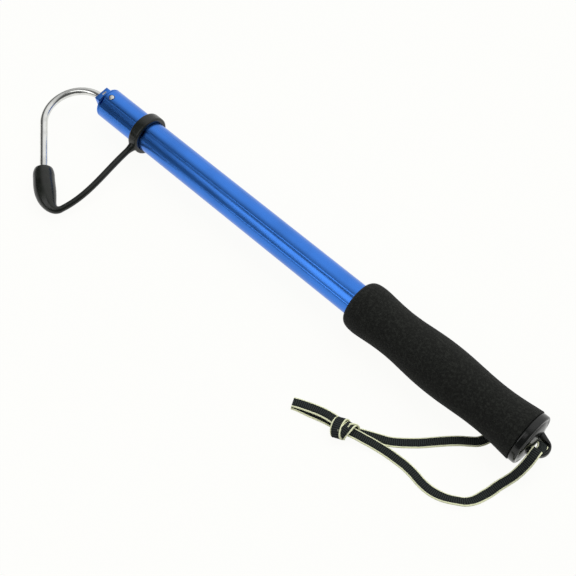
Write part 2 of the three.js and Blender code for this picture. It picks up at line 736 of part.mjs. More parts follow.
const lowerTailRoute = [
  [282.5, -65.6, 1.7], [277.8, -66.1, 1.3], [270.5, -67.9, 0.9],
  [264.5, -69.9, 0.85], [256, -72.4, 0.85], [251.9, -73.9, 0.85],
];
const nearTilts = [[0, 0], [0.31, 0], [0.4, 17], [0.46, 17], [0.56, 0], [1, 0]];
const noTilts = [[0, 0], [1, 0]];
const knotMiddle = [285.6, -66.6, floorGap + knotHeight / 2];

// An egg that the knot fills, grown by a margin
function knotEgg(margin) {
  const egg = new THREE.SphereGeometry(1, smallSteps, smallSteps / 2);
  egg.scale(knotLength / 2 + margin, knotWidth / 2 + margin, knotHeight / 2 + margin);
  return egg;
}

// The wrap that crosses over the knot, grown by a margin
function knotWrap(margin) {
  const wide = knotWidth / 2 - knotWrapRadius;
  const high = knotHeight / 2 - knotWrapRadius;
  const wrap = new THREE.TorusGeometry(wide, knotWrapRadius + margin, bandSides, smallSteps);
  wrap.rotateY(Math.PI / 2);
  wrap.scale(1, 1, high / wide);
  return wrap;
}

function knotSolid(margin) {
  const shapes = [knotEgg(margin), knotWrap(margin)].map((geometry) => {
    geometry.rotateZ(THREE.MathUtils.degToRad(knotTurn));
    return solid(geometry.translate(...knotMiddle));
  });
  return shapes[0].add(shapes[1]);
}

const knotRoom = knotSolid(seatGap);
function placeWebbing(name, route, steps, startAcross, turnShare, tilts) {
  const strip = solid(webbing(route, steps, startAcross, turnShare, tilts)).subtract(knotRoom);
  place(floorLevel, name, geometryOf(strip), blackWebbing);
}
placeWebbing('lanyard_strand_near', nearRoute, webbingSteps, -1, turnEndShare, nearTilts);
placeWebbing('lanyard_strand_far', farRoute, webbingSteps, 1, turnEndShare, noTilts);
place(floorLevel, 'lanyard_knot', geometryOf(knotSolid(0)), blackWebbing);
placeWebbing('lanyard_tail_upper', upperTailRoute, tailSteps, 1, 0, noTilts);
placeWebbing('lanyard_tail_lower', lowerTailRoute, tailSteps, 1, 0, noTilts);

export default group;
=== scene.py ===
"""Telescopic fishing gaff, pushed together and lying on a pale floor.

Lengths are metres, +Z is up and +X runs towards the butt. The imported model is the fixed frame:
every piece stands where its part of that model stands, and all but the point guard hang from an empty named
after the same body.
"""
import math

import bmesh
import bpy
from bpy.props import FloatProperty, FloatVectorProperty, IntProperty, PointerProperty
from mathutils import Euler, Matrix, Vector
from mathutils.geometry import interpolate_bezier


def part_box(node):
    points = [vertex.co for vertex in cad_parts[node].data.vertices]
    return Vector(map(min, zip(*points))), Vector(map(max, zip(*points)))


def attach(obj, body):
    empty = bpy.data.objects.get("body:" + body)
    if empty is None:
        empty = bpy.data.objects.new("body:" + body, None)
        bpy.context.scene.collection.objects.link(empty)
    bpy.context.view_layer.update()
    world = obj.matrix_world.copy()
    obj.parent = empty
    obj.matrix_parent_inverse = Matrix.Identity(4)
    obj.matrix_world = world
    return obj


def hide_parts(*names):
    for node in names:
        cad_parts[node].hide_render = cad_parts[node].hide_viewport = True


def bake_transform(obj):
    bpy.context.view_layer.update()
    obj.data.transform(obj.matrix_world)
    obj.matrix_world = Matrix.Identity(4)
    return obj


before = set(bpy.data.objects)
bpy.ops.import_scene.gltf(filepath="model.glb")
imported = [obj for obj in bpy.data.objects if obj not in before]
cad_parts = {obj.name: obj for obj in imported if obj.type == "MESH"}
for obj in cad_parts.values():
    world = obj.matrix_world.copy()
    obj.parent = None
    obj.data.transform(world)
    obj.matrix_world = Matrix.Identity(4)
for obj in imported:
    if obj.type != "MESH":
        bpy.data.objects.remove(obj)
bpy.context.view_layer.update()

bl_info = {
    "name": "Telescopic Gaff",
    "version": (1, 0, 0),
    "blender": (4, 5, 0),
    "location": "3D View > Sidebar > Gaff",
    "description": "Builds a telescopic fishing gaff with a point guard, a foam grip and a lanyard",
    "category": "Add Mesh",
}

MM = 0.001
TINY = 1e-6
FULL_TURN = 2 * math.pi
RIGHT_ANGLE = math.pi / 2

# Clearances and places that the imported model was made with
SEAT_GAP = 0.25 * MM
RUNNING_GAP = 0.25 * MM
BUSH_WALL = 0.7 * MM
OUTER_TUBE_START = 2.85 * MM
LANYARD_START_SHARE = 0.14


def length(name, description, millimetres):
    """A length that a user may change, with its default in millimetres."""
    return FloatProperty(
        name=name, description=description, default=millimetres * MM, unit="LENGTH", precision=5
    )


def turn(name, description, degrees):
    """An angle that a user may change, with its default in degrees."""
    return FloatProperty(
        name=name, description=description, default=math.radians(degrees), subtype="ANGLE"
    )


def share(name, description, value):
    """A share of something, from nothing to all of it."""
    return FloatProperty(
        name=name, description=description, default=value, min=0, max=1, subtype="FACTOR"
    )


def colour(name, description, red, green, blue):
    """A colour that a user may change, in scene linear values."""
    return FloatVectorProperty(
        name=name, description=description, default=(red, green, blue), min=0, max=1, subtype="COLOR"
    )


def count(name, description, value):
    """A number of facets or repeats that a user may change."""
    return IntProperty(name=name, description=description, default=value, min=1)


def strength(name, description, value, unit="NONE"):
    """The strength of a light, from nothing upwards."""
    return FloatProperty(name=name, description=description, default=value, min=0, unit=unit)


def settings_of(kind, name, description):
    """A group of settings of one kind."""
    return PointerProperty(type=kind, name=name, description=description)


class GaffPole(bpy.types.PropertyGroup):
    """Sizes of the three nested tubes, their collars and their rivets."""

    radius: length("Pole radius", "Outside radius of the outer tube", 11)
    flute_depth: length("Flute depth", "How deep the long flutes are", 1.3)
    flute_arc: length("Flute radius", "Radius of the hollow of each flute", 7.7)
    flute_edge: length("Flute edge", "How far the edge of a flute is rounded", 0.22)
    flutes: count("Flutes", "Number of flutes round the tube", 3)
    facets: count("Facets", "Facets round a tube", 216)
    outer_wall: length("Outer wall", "Wall of the outer tube", 1)
    section_wall: length("Section wall", "Wall of the nested tubes", 0.8)
    outer_length: length("Outer length", "Length of the outer tube", 364.4)
    collar_start: length("Collar start", "Distance of the outer collar from the mouth", 1.2)
    collar_lip: length("Outer lip", "Thickness of the outer collar's lip", 1.4)
    middle_lip: length("Middle lip", "Thickness of the middle collar's lip", 0.8)
    middle_lip_radius: length("Middle lip radius", "Radius of the middle collar's lip", 9.2)
    collar_spigot: length("Collar length", "Length of a collar with its spigot", 20)
    lip_round: length("Lip round", "Rounding of the outer collar's front edge", 0.5)
    middle_lip_round: length("Middle lip round", "Rounding of the middle collar's front edge", 0.6)
    edge_break: length("Edge break", "Chamfer on the cut end of a tube", 0.15)
    rivet_place: length("Rivet place", "Distance of the collar rivets from the mouth", 7.2)
    rivet_radius: length("Rivet radius", "Radius of a collar rivet's head", 1.9)
    rivet_stand: length("Rivet stand", "How far a rivet stands above the tube", 0.5)
    rivet_dome: length("Rivet dome", "Height of the rivet's dome", 0.5)
    rivet_hole: length("Rivet hole", "Radius of the hole round a rivet", 2.3)
    first_rivet: turn("First rivet", "Place of the first rivet round the pole", 86)
    second_rivet: turn("Second rivet", "Place of the second rivet round the pole", 326)
    nose_length: length("Nose length", "Length of the flat-sided hook holder", 3.95)
    nose_width: length("Nose width", "Width of the hook holder", 11.4)
    nose_aside: length("Nose aside", "Distance of the hook holder's middle from the pole's axis", -0.15)
    nose_thickness: length("Nose thickness", "Thickness of the hook holder", 15.5)
    nose_corner: length("Nose corner", "Rounding of the hook holder's edges", 0.4)


class GaffHook(bpy.types.PropertyGroup):
    """Sizes of the round steel hook."""

    wire_radius: length("Wire radius", "Radius of the hook's wire", 2.7)
    bend_lead: length("Bend lead", "How far in front of the holder the bend starts", 1.75)
    bend_radius: length("Bend radius", "Radius of the bend's centre line", 23.6)
    bend_turn: turn("Bend", "Angle that the hook is bent through", 139.2)
    leg: length("Leg", "Length of the straight leg with its point", 62)
    point: length("Point", "Length of the tapered point", 12)
    tip_radius: length("Tip radius", "Radius of the very tip", 0.3)
    shank: length("Shank", "How far the shank goes in past the mouth", 16)
    sides: count("Sides", "Facets round the wire", 40)
    bend_steps: count("Bend steps", "Steps along the bend", 72)


class GaffGuard(bpy.types.PropertyGroup):
    """Sizes of the rubber point guard."""

    cover: length("Cover", "Length of the leg that the cap covers", 23)
    beyond: length("Beyond", "How far the cap goes on past the tip", 10.6)
    aside: length("Aside", "How far the cap's end turns inwards", 12)
    cap_radius: length("Cap radius", "Radius of the cap", 7.4)
    strap_radius: length("Strap radius", "Radius of the strap", 2.25)
    ring_place: length("Ring place", "Distance of the ring from the mouth", 37.3)
    ring_width: length("Ring width", "Width of the ring along the pole", 8)
    ring_wall: length("Ring wall", "Thickness of the ring", 3)
    ring_round: length("Ring round", "Rounding of the ring's edges", 1.2)
    lug: length("Lug", "How far the flared web reaches off the ring", 4.6)
    grain: length("Surface step", "Step at which the moulding is made one skin", 0.34)


class GaffHandle(bpy.types.PropertyGroup):
    """Sizes of the foam grip and the butt cap."""

    grip_length: length("Grip length", "Length of the foam grip", 131.8)
    grip_overhang: length("Grip overhang", "How far the foam covers past the tube", 2)
    belly_radius: length("Belly radius", "Radius at the belly of the grip", 17.4)
    butt_radius: length("Butt radius", "Radius of the grip at the butt", 17.6)
    flange_radius: length("Flange radius", "Radius of the cap's flange", 17.1)
    flange: length("Flange", "Thickness of the cap's flange", 5)
    dome: length("Dome", "Height of the cap's dome", 1.9)
    eye_reach: length("Eye reach", "How far the lanyard eye stands off the flange", 11.8)
    eye_root: length("Eye root", "Width of the lanyard eye at the flange", 19)
    eye_end: length("Eye end", "Radius of the round end of the lanyard eye", 6.9)
    eye_thickness: length("Eye thickness", "Thickness of the lanyard eye", 4.4)
    hole_length: length("Hole length", "Length of the hole in the eye", 7.2)
    hole_width: length("Hole width", "Width of the hole in the eye", 8.2)
    end_bar: length("End bar", "Width of the bar round the end of the eye", 2.45)
    grain: length("Surface step", "Step at which the cap is made one skin", 0.36)


class GaffLanyard(bpy.types.PropertyGroup):
    """Sizes of the lanyard's webbing."""

    width: length("Width", "Width of the webbing", 6.8)
    thickness: length("Thickness", "Thickness of the webbing at its edges", 1.2)
    edge_roll: length("Edge stripe", "Width of the pale stripe on each edge", 1.7)
    rib_pitch: length("Rib pitch", "Distance between two ribs of the weave", 1.25)
    rib_depth: length("Rib depth", "Height of a rib on each face", 0.2)
    rib_steps: count("Rib steps", "Steps along the webbing for each rib", 5)
    near_length: length("Near strand", "Length of the near strand up to the knot", 142)
    far_length: length("Far strand", "Length of the far strand up to the knot", 151)


class GaffColours(bpy.types.PropertyGroup):
    """Colours of the finishes."""

    anodised: colour("Anodised blue", "Colour of the anodised tubes", 0.050, 0.215, 0.740)
    steel: colour("Steel", "Colour of the hook and rivets", 0.760, 0.765, 0.740)
    rubber: colour("Rubber", "Colour of the point guard", 0.0065, 0.0080, 0.0060)
    foam: colour("Foam", "Colour of the grip", 0.0115, 0.0122, 0.0108)
    plastic: colour("Plastic", "Colour of the butt cap", 0.0060, 0.0066, 0.0062)
    webbing: colour("Webbing", "Colour of the webbing's middle", 0.0055, 0.0065, 0.0062)
    edging: colour("Edging", "Colour of the webbing's edges", 0.960, 0.990, 0.660)
    nylon: colour("Nylon", "Colour of the tail bushes", 0.780, 0.780, 0.740)
    floor: colour("Floor", "Colour of the floor", 0.900, 0.900, 0.895)


class GaffLight(bpy.types.PropertyGroup):
    """Strengths of the plain studio light."""

    sky: strength("Sky", "Brightness of the light side", 1.0)
    shade: strength("Shade", "Brightness of the dark side", 0.1)
    key: strength("Key", "Power of the soft lamp above", 4.4, "POWER")
    fill: strength("Fill", "Power of the lamp by the butt", 2.3, "POWER")
    floor_glow: share("Floor glow", "Share of plain light in what the camera sees of the floor", 0.95)


class GaffSettings(bpy.types.PropertyGroup):
    """All sizes, colours and lights of the gaff."""

    pole: settings_of(GaffPole, "Pole", "Tubes, collars and rivets")
    hook: settings_of(GaffHook, "Hook", "Steel hook")
    guard: settings_of(GaffGuard, "Guard", "Rubber point guard")
    handle: settings_of(GaffHandle, "Handle", "Grip and butt cap")
    lanyard: settings_of(GaffLanyard, "Lanyard", "Webbing lanyard")
    colours: settings_of(GaffColours, "Colours", "Colours of the finishes")
    light: settings_of(GaffLight, "Light", "Studio light")


def settings():
    """The gaff's settings, as the scene keeps them."""
    return bpy.context.scene.gaff


# Where things stand


def axis_place():
    """The pole's axis at the mouth of the outer collar."""
    low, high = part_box("foam_grip")
    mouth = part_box("outer_tube")[0].x - OUTER_TUBE_START
    return Vector((mouth, (low.y + high.y) / 2, (low.z + high.z) / 2))


def level():
    """Frame of the grip and cap: the pole's axis, not rolled."""
    return Matrix.Translation(axis_place())


def laid():
    """Frame of the tubes and the hook: the pole's axis, rolled until the guard's cap rests on the floor."""
    hook, guard = settings().hook, settings().guard
    leg_angle = math.pi - hook.bend_turn
    middle = hook.leg - guard.cover / 4
    reach = hook.bend_radius * (1 + math.cos(leg_angle)) + middle * math.sin(leg_angle)
    roll = math.asin((settings().handle.butt_radius - guard.cap_radius) / reach)
    return level() @ Matrix.Rotation(roll, 4, "X")


def on_floor(point):
    """A point of the lanyard's routes, in millimetres from the mouth, in the row frame."""
    place = axis_place()
    return Vector((point[0] * MM + place.x, point[1] * MM + place.y, point[2] * MM))


# Mesh making

# Steps of the curve between two points of a given line
CURVE_STEPS = 24


def tangent_at(line, index):
    return (line[min(index + 1, len(line) - 1)] - line[max(index - 1, 0)]).normalized()


def smooth_line(points, step):
    """An even run of points along a smooth curve through the given ones."""
    points = [Vector(point) for point in points]
    tangents = [tangent_at(points, index) for index in range(len(points))]
    fine = [points[0]]
    for index, (start, end) in enumerate(zip(points, points[1:])):
        reach = (end - start).length / 3
        leave = start + tangents[index] * reach
        arrive = end - tangents[index + 1] * reach
        fine += interpolate_bezier(start, leave, arrive, end, CURVE_STEPS)[1:]
    return even_line(fine, step)


def even_line(line, step):
    """The same line with its points about one step apart."""
    along = [0.0]
    for start, end in zip(line, line[1:]):
        along.append(along[-1] + (end - start).length)
    steps = max(2, round(along[-1] / step))
    even, index = [], 0
    for number in range(steps + 1):
        wanted = along[-1] * number / steps
        while index < len(line) - 2 and along[index + 1] < wanted:
            index += 1
        part = (wanted - along[index]) / max(along[index + 1] - along[index], 1e-12)
        even.append(line[index].lerp(line[index + 1], min(max(part, 0), 1)))
    return even


def angles_round(sides):
    """Angles of an even ring of points."""
    return [FULL_TURN * step / sides for step in range(sides)]


def skin(bm, rings, closed=False):
    """Rolls a grid into a skin over rings of points. A closed skin meets its own start."""
    sides = len(rings[0])
    rows = rings + [rings[0]] if closed else rings
    made = bmesh.ops.create_grid(bm, x_segments=sides, y_segments=len(rows) - 1, size=1)["verts"]
    for row, ring in enumerate(rows):
        for column in range(sides + 1):
            made[row * (sides + 1) + column].co = ring[column % sides]
    bmesh.ops.remove_doubles(bm, verts=made, dist=TINY)
    kept = [v for v in made if v.is_valid]
    if not closed:
        open_edges = list({e for v in kept for e in v.link_edges if e.is_boundary})
        bmesh.ops.holes_fill(bm, edges=open_edges, sides=0)
    bmesh.ops.recalc_face_normals(bm, faces=list({f for v in kept for f in v.link_faces}))
    return kept


def spin_profile(bm, profile, steps):
    """Spins a profile of places along the pole and radii into a closed shell about the pole's axis."""
    points = [bm.verts.new((place, 0, radius)) for place, radius in profile]
    pairs = list(zip(points, points[1:]))
    if profile[0][1] > TINY:
        pairs.append((points[-1], points[0]))
    edges = [bm.edges.new(pair) for pair in pairs]
    bmesh.ops.spin(
        bm, geom=points + edges, cent=(0, 0, 0), axis=(1, 0, 0), dvec=(0, 0, 0), angle=FULL_TURN,
        steps=steps, use_merge=True, use_duplicate=False,
    )
    bmesh.ops.remove_doubles(bm, verts=bm.verts, dist=TINY)
    bmesh.ops.recalc_face_normals(bm, faces=bm.faces)


def round_corner(centre, radius, start, end, steps):
    """Points of an arc of a profile, angles in degrees from the pole's direction."""
    points = []
    for step in range(steps + 1):
        angle = math.radians(start + (end - start) * step / steps)
        points.append((centre[0] + radius * math.cos(angle), centre[1] + radius * math.sin(angle)))
    return points


def mesh_piece(bm, name, materials, sharp=38):
    """Makes a piece of a bmesh, smooth but for edges sharper than an angle in degrees."""
    mesh = bpy.data.meshes.new(name)
    bm.to_mesh(mesh)
    bm.free()
    piece = bpy.data.objects.new(name, mesh)
    bpy.context.scene.collection.objects.link(piece)
    for finish in materials:
        mesh.materials.append(finish)
    smooth(piece, sharp)
    return piece


def smooth(piece, sharp=38):
    """Smooths a piece but for edges sharper than an angle in degrees."""
    piece.data.shade_smooth()
    piece.data.set_sharp_from_angle(angle=math.radians(sharp))


def apply_modifiers(piece):
    """Turns what a piece's modifiers show into its own mesh."""
    graph = bpy.context.evaluated_depsgraph_get()
    before = piece.data
    made = bpy.data.meshes.new_from_object(piece.evaluated_get(graph), depsgraph=graph)
    piece.modifiers.clear()
    piece.data = made
    made.name = piece.name
    bpy.data.meshes.remove(before)


def cut(piece, bm):
    """Cuts the shapes of a bmesh out of a piece."""
    cutter = mesh_piece(bm, "cutter", [])
    tool = piece.modifiers.new("cut", "BOOLEAN")
    tool.operation = "DIFFERENCE"
    tool.solver = "EXACT"
    tool.use_self = False
    tool.object = cutter
    apply_modifiers(piece)
    bpy.data.meshes.remove(cutter.data)


def one_skin(piece, step, passes):
    """Melts overlapping closed shapes into one moulded skin and evens it."""
    melt = piece.modifiers.new("melt", "REMESH")
    melt.mode = "VOXEL"
    melt.voxel_size = step
    melt.use_smooth_shade = True
    even = piece.modifiers.new("even", "SMOOTH")
    even.factor = 0.5
    even.iterations = passes
    apply_modifiers(piece)


def block(sizes):
    """A bmesh of a block about the origin."""
    bm = bmesh.new()
    bmesh.ops.create_cube(bm, size=1)
    bmesh.ops.scale(bm, vec=sizes, verts=bm.verts)
    return bm


def bevel(bm, edges, offset, segments):
    """Rounds edges of a bmesh."""
    bmesh.ops.bevel(
        bm, geom=edges, offset=offset, offset_type="OFFSET", affect="EDGES", segments=segments,
        profile=0.5, material=-1,
    )


def stand_for(piece, body, slot, *nodes, place=None):
    """Moves a finished piece to its place, hides the nodes it stands for and hangs it from its body's empty,
    if it has a body. The slot is not used.
    """
    if place:
        piece.data.transform(place)
    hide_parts(*nodes)
    if body:
        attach(piece, body)


# Materials

COLOUR, NUMBER = "NodeSocketColor", "NodeSocketFloat"

# Shared groups and finishes that are built already
shared_groups = {}
finishes = {}


def plug(tree, socket, value):
    """Links a socket to another one, or sets it to a plain value."""
    if isinstance(value, bpy.types.NodeSocket):
        tree.links.new(value, socket)
    else:
        socket.default_value = value


def add_node(tree, kind, inputs=None, **options):
    """Adds a shader node, sets its options and plugs its inputs."""
    made = tree.nodes.new("ShaderNode" + kind)
    for name, value in options.items():
        setattr(made, name, value)
    for name, value in (inputs or {}).items():
        plug(tree, made.inputs[name], value)
    return made


def calculate(tree, operation, first, second):
    """The result of two values, as a socket."""
    return add_node(tree, "Math", {0: first, 1: second}, operation=operation).outputs["Value"]


def spread(tree, value, low, high):
    """A mask stretched to run from a low value to a high one."""
    return add_node(tree, "MapRange", {"Value": value, "To Min": low, "To Max": high}).outputs["Result"]


def mixed_colour(tree, factor, first, second):
    """Two colours mixed by a factor."""
    return add_node(tree, "Mix", {"Factor": factor, 6: first, 7: second}, data_type="RGBA").outputs[2]


def own_place(tree):
    """A piece's own coordinates, in metres."""
    return add_node(tree, "TexCoord").outputs["Object"]


def noise(tree, place, scale, detail, roughness=0.5):
    """Soft noise between nought and one."""
    inputs = {"Vector": place, "Scale": scale, "Detail": detail, "Roughness": roughness}
    return add_node(tree, "TexNoise", inputs).outputs["Fac"]


def new_group(name, inputs, outputs):
    """A shader node group with named sockets: (group, what it is given, what it puts out)."""
    group = bpy.data.node_groups.new(name, "ShaderNodeTree")
    for label, kind, value in inputs:
        socket = group.interface.new_socket(name=label, in_out="INPUT", socket_type=kind)
        socket.default_value = value
    for label, kind in outputs:
        group.interface.new_socket(name=label, in_out="OUTPUT", socket_type=kind)
    return group, group.nodes.new("NodeGroupInput").outputs, group.nodes.new("NodeGroupOutput").inputs


def mottle_group():
    """Two shades of a colour in soft patches, as handling and moulding leave them; on the foam the lighter
    speckles are partly painted sheen.
    """
    group, given, out = new_group(
        "Mottled Shade",
        [
            ("Colour", COLOUR, (0.5, 0.5, 0.5, 1)),
            ("Other Colour", COLOUR, (0.4, 0.4, 0.4, 1)),
            ("Scale", NUMBER, 60.0),
            ("Low", NUMBER, 0.4),
            ("High", NUMBER, 0.65),
        ],
        [("Colour", COLOUR), ("Mask", NUMBER)],
    )
    patches = noise(group, own_place(group), given["Scale"], 5.0, 0.6)
    limits = {"Value": patches, "From Min": given["Low"], "From Max": given["High"]}
    mask = add_node(group, "MapRange", limits, interpolation_type="SMOOTHSTEP").outputs["Result"]
    plug(group, out["Colour"], mixed_colour(group, mask, given["Colour"], given["Other Colour"]))
    plug(group, out["Mask"], mask)
    return group


def drawn_group():
    """Fine lines along the pole, as drawing and polishing leave them on metal."""
    group, given, out = new_group(
        "Drawn Lines",
        [("Across Scale", NUMBER, 900.0), ("Along Share", NUMBER, 0.02)],
        [("Mask", NUMBER)],
    )
    stretch = add_node(group, "CombineXYZ", {"X": given["Along Share"], "Y": 1.0, "Z": 1.0})
    factors = {0: own_place(group), 1: stretch.outputs["Vector"]}
    squeezed = add_node(group, "VectorMath", factors, operation="MULTIPLY").outputs["Vector"]
    plug(group, out["Mask"], noise(group, squeezed, given["Across Scale"], 3.0))
    return group


def grain_group():
    """Height of a fine grain, with larger soft unevenness under it."""
    group, given, out = new_group(
        "Fine Grain",
        [("Grain Scale", NUMBER, 1500.0), ("Swell Scale", NUMBER, 90.0), ("Swell Share", NUMBER, 0.4)],
        [("Height", NUMBER)],
    )
    place = own_place(group)
    fine = noise(group, place, given["Grain Scale"], 3.0)
    swell = noise(group, place, given["Swell Scale"], 2.0)
    mixed = add_node(group, "Mix", {"Factor": given["Swell Share"], "A": fine, "B": swell})
    plug(group, out["Height"], mixed.outputs["Result"])
    return group


def group_in(tree, builder, inputs):
    """The outputs of a shared group placed in a material. The group is built the first time."""
    if builder not in shared_groups:
        shared_groups[builder] = builder()
    return add_node(tree, "Group", inputs, node_tree=shared_groups[builder]).outputs


def with_alpha(shade, factor=1.0):
    """A colour times a factor, with full cover."""
    return (shade[0] * factor, shade[1] * factor, shade[2] * factor, 1)


def mottle(tree, shade, other, scale, low=0.4, high=0.65):
    """A shade in soft patches with another one, which is given as a factor on the first."""
    inputs = {"Colour": with_alpha(shade), "Other Colour": with_alpha(shade, other)}
    return group_in(tree, mottle_group, {**inputs, "Scale": scale, "Low": low, "High": high})


def grain(fine, swell, share_of_swell):
    """The fine grain group, with its two scales and its share."""
    return grain_group, {"Grain Scale": fine, "Swell Scale": swell, "Swell Share": share_of_swell}


def finish(name, recipe, sockets, **values):
    """A finish by name, built by its recipe the first time, with some plain sockets set."""
    if name not in finishes:
        made = bpy.data.materials.new(name)
        made.use_nodes = True
        finishes[name] = made
        shader = made.node_tree.nodes["Principled BSDF"]
        for socket, value in sockets.items():
            shader.inputs[socket].default_value = value
        recipe(made.node_tree, shader, **values)
    return finishes[name]


def surface(tree, shader, shade, gloss_mask, gloss, height, relief):
    """Plugs in a colour, a roughness between two values, and a relief of a strength and a depth in mm."""
    deep = {"Height": height, "Strength": relief[0], "Distance": relief[1] * MM}
    plug(tree, shader.inputs["Base Color"], shade)
    plug(tree, shader.inputs["Roughness"], spread(tree, gloss_mask, *gloss))
    plug(tree, shader.inputs["Normal"], add_node(tree, "Bump", deep).outputs["Normal"])


def metal(tree, shader, shade, patches, marks, gloss, relief):
    """Metal with marks that show in its gloss and its relief."""
    mask = group_in(tree, *marks)[0]
    surface(tree, shader, mottle(tree, shade, *patches)["Colour"], mask, gloss, mask, relief)


def moulded(tree, shader, shade, patches, marks, gloss, relief, cells=None):
    """Moulded stuff whose gloss goes with its patches. Foam has cells of a scale in its relief too."""
    tint = mottle(tree, shade, *patches)
    height = group_in(tree, *marks)[0]
    if cells:
        inputs = {"Vector": own_place(tree), "Scale": cells, "Randomness": 1.0}
        pores = add_node(tree, "TexVoronoi", inputs, feature="F1").outputs["Distance"]
        height = calculate(tree, "ADD", pores, height)
    surface(tree, shader, tint["Colour"], tint["Mask"], gloss, height, relief)


# Scale at which a wave texture makes one band for each whole number
RIB_WAVE_SCALE = math.pi / 10


def yarn(tree, shader, shade, lighter, rib_share, rib_shade):
    """Woven yarn of one colour: ribs across the webbing, and fine threads. The rib tops take a factor on the
    colour: a painted highlight, nine times lighter, on the black yarn, and a slight darkening on the pale
    edging.
    """
    tint = mottle(tree, shade, lighter, 900.0, 0.4, 0.66)
    place = add_node(tree, "UVMap", uv_map="weave").outputs["UV"]
    coarse = {"Vector": place, "Scale": RIB_WAVE_SCALE, "Distortion": 0.25, "Detail": 1.0}
    ribs = add_node(tree, "TexWave", coarse, wave_type="BANDS", bands_direction="X").outputs["Fac"]
    fine = {"Vector": place, "Scale": 0.9, "Distortion": 1.2, "Detail": 2.0, "Detail Scale": 2.0}
    threads = add_node(tree, "TexWave", fine, wave_type="BANDS", bands_direction="DIAGONAL").outputs["Fac"]
    # Mask of the rib tops, where the black yarn gets its painted highlight and the pale edging a slight
    # darkening
    mask = spread(tree, ribs, 0, rib_share)
    ribbed = mixed_colour(tree, mask, tint["Colour"], with_alpha(shade, rib_shade))
    surface(tree, shader, ribbed, threads, (0.72, 0.9), threads, (0.35, 0.08))


def anodised():
    """Satin blue anodised aluminium with faint drawing lines."""
    return finish(
        "blue_anodised_metal", metal, {"Metallic": 1, "Coat Weight": 0.12, "Coat Roughness": 0.18},
        shade=settings().colours.anodised, patches=(0.9, 45.0),
        marks=(drawn_group, {"Across Scale": 1400.0, "Along Share": 0.015}),
        gloss=(0.22, 0.36), relief=(0.12, 0.02),
    )


def steel():
    """Polished stainless wire with light handling marks."""
    return finish(
        "polished_steel", metal, {"Metallic": 1}, shade=settings().colours.steel, patches=(0.86, 160.0),
        marks=grain(2600.0, 260.0, 0.5), gloss=(0.1, 0.26), relief=(0.1, 0.02),
    )


def rubber():
    """Soft moulded rubber with a dull sheen."""
    return finish(
        "moulded_rubber", moulded, {"Specular IOR Level": 0.42}, shade=settings().colours.rubber,
        patches=(1.7, 110.0), marks=grain(1900.0, 210.0, 0.35), gloss=(0.2, 0.32), relief=(0.22, 0.06),
    )


def foam():
    """Dense closed foam: a dull skin of tiny cells, with fine lighter speckles that are partly random tone
    and partly painted sheen on the cells.
    """
    return finish(
        "closed_cell_foam", moulded,
        {"Specular IOR Level": 0.12, "Sheen Weight": 0.05, "Sheen Roughness": 0.5},
        # The other shade, 2.4 times the foam's colour in fine speckles, is partly painted highlight on the
        # cells
        shade=settings().colours.foam, patches=(2.4, 620.0, 0.42, 0.7), cells=1500.0,
        marks=grain(1300.0, 120.0, 0.45), gloss=(0.82, 0.96), relief=(0.6, 0.16),
    )


def plastic():
    """Glossy black moulded plastic with a faint orange-peel skin."""
    return finish(
        "moulded_plastic", moulded, {"Specular IOR Level": 0.4}, shade=settings().colours.plastic,
        patches=(1.5, 140.0), marks=grain(1100.0, 260.0, 0.7), gloss=(0.16, 0.28), relief=(0.12, 0.05),
    )


def nylon():
    """Turned nylon of the tail bushes."""
    return finish(
        "turned_nylon", moulded, {}, shade=settings().colours.nylon, patches=(0.9, 80.0),
        marks=grain(1500.0, 150.0, 0.4), gloss=(0.45, 0.6), relief=(0.1, 0.05),
    )


def webbing_finishes():
    """The webbing's two yarns: black in the middle and pale along the edges."""
    colours = settings().colours
    dull = {"Specular IOR Level": 0.15, "Sheen Weight": 0.06, "Sheen Roughness": 0.4}
    # The black yarn's rib tops are painted nine times lighter, a painted highlight; the edging's are 0.86
    # times its colour, a little darker
    return [
        finish(
            "webbing_black", yarn, dull,
            shade=colours.webbing, lighter=1.8, rib_share=0.85, rib_shade=9,
        ),
        finish(
            "webbing_edging", yarn, dull,
            shade=colours.edging, lighter=0.94, rib_share=0.2, rib_shade=0.86,
        ),
    ]


# The camera, fitted to the photograph
CAMERA_PLACE = (0.292085, -0.26797, 0.63032)
CAMERA_TURN = (32.39, 0, 44.04)
CAMERA_LENS = 71.875
CAMERA_SENSOR = 36


class GAFF_OT_camera(bpy.types.Operator):
    """Places the camera at the photograph's viewing angle"""

    bl_idname = "gaff.camera"
    bl_label = "Camera"

    def execute(self, context):
        data = bpy.data.cameras.new("camera")
        data.lens = CAMERA_LENS
        data.sensor_width = CAMERA_SENSOR
        data.clip_start = 0.01
        camera = bpy.data.objects.new("camera", data)
        camera.location = CAMERA_PLACE
        camera.rotation_euler = Euler([math.radians(angle) for angle in CAMERA_TURN])
        context.scene.collection.objects.link(camera)
        context.scene.camera = camera
        return {"FINISHED"}


# Lanyard routes: millimetres from the mouth, with the floor at zero
NEAR_ROUTE = [
    (380.35, -3.4, 17.65), (380.35, -3.42, 19.5), (380.4, -4.2, 20.8), (380.6, -6.4, 21.1),
    (380.8, -8.9, 20.2), (380.8, -11.9, 17.9), (380.4, -15.5, 14.6), (379.6, -18.9, 11),
    (378.4, -22, 7.4), (376.7, -25.6, 4.4), (375.1, -29.7, 2.2), (374.1, -34.3, 1.25),
    (372.7, -39.2, 1.1), (371.4, -43.8, 1.4), (370, -46.9, 1.75), (367.6, -50.1, 1.95),
    (364.4, -52.4, 1.9), (360.1, -55, 1.7), (355.1, -57, 1.2), (348.5, -58.4, 0.9),
    (341.8, -58.4, 0.9), (334.5, -57.3, 0.9), (327.5, -56.8, 0.9), (320.9, -57.3, 1.2),
    (316, -58, 1.9), (311, -58.9, 2.4), (304.3, -60.3, 2.8), (299.4, -61.8, 3.6),
    (294.5, -63.3, 4.6), (288.5, -65.2, 4.9),
]
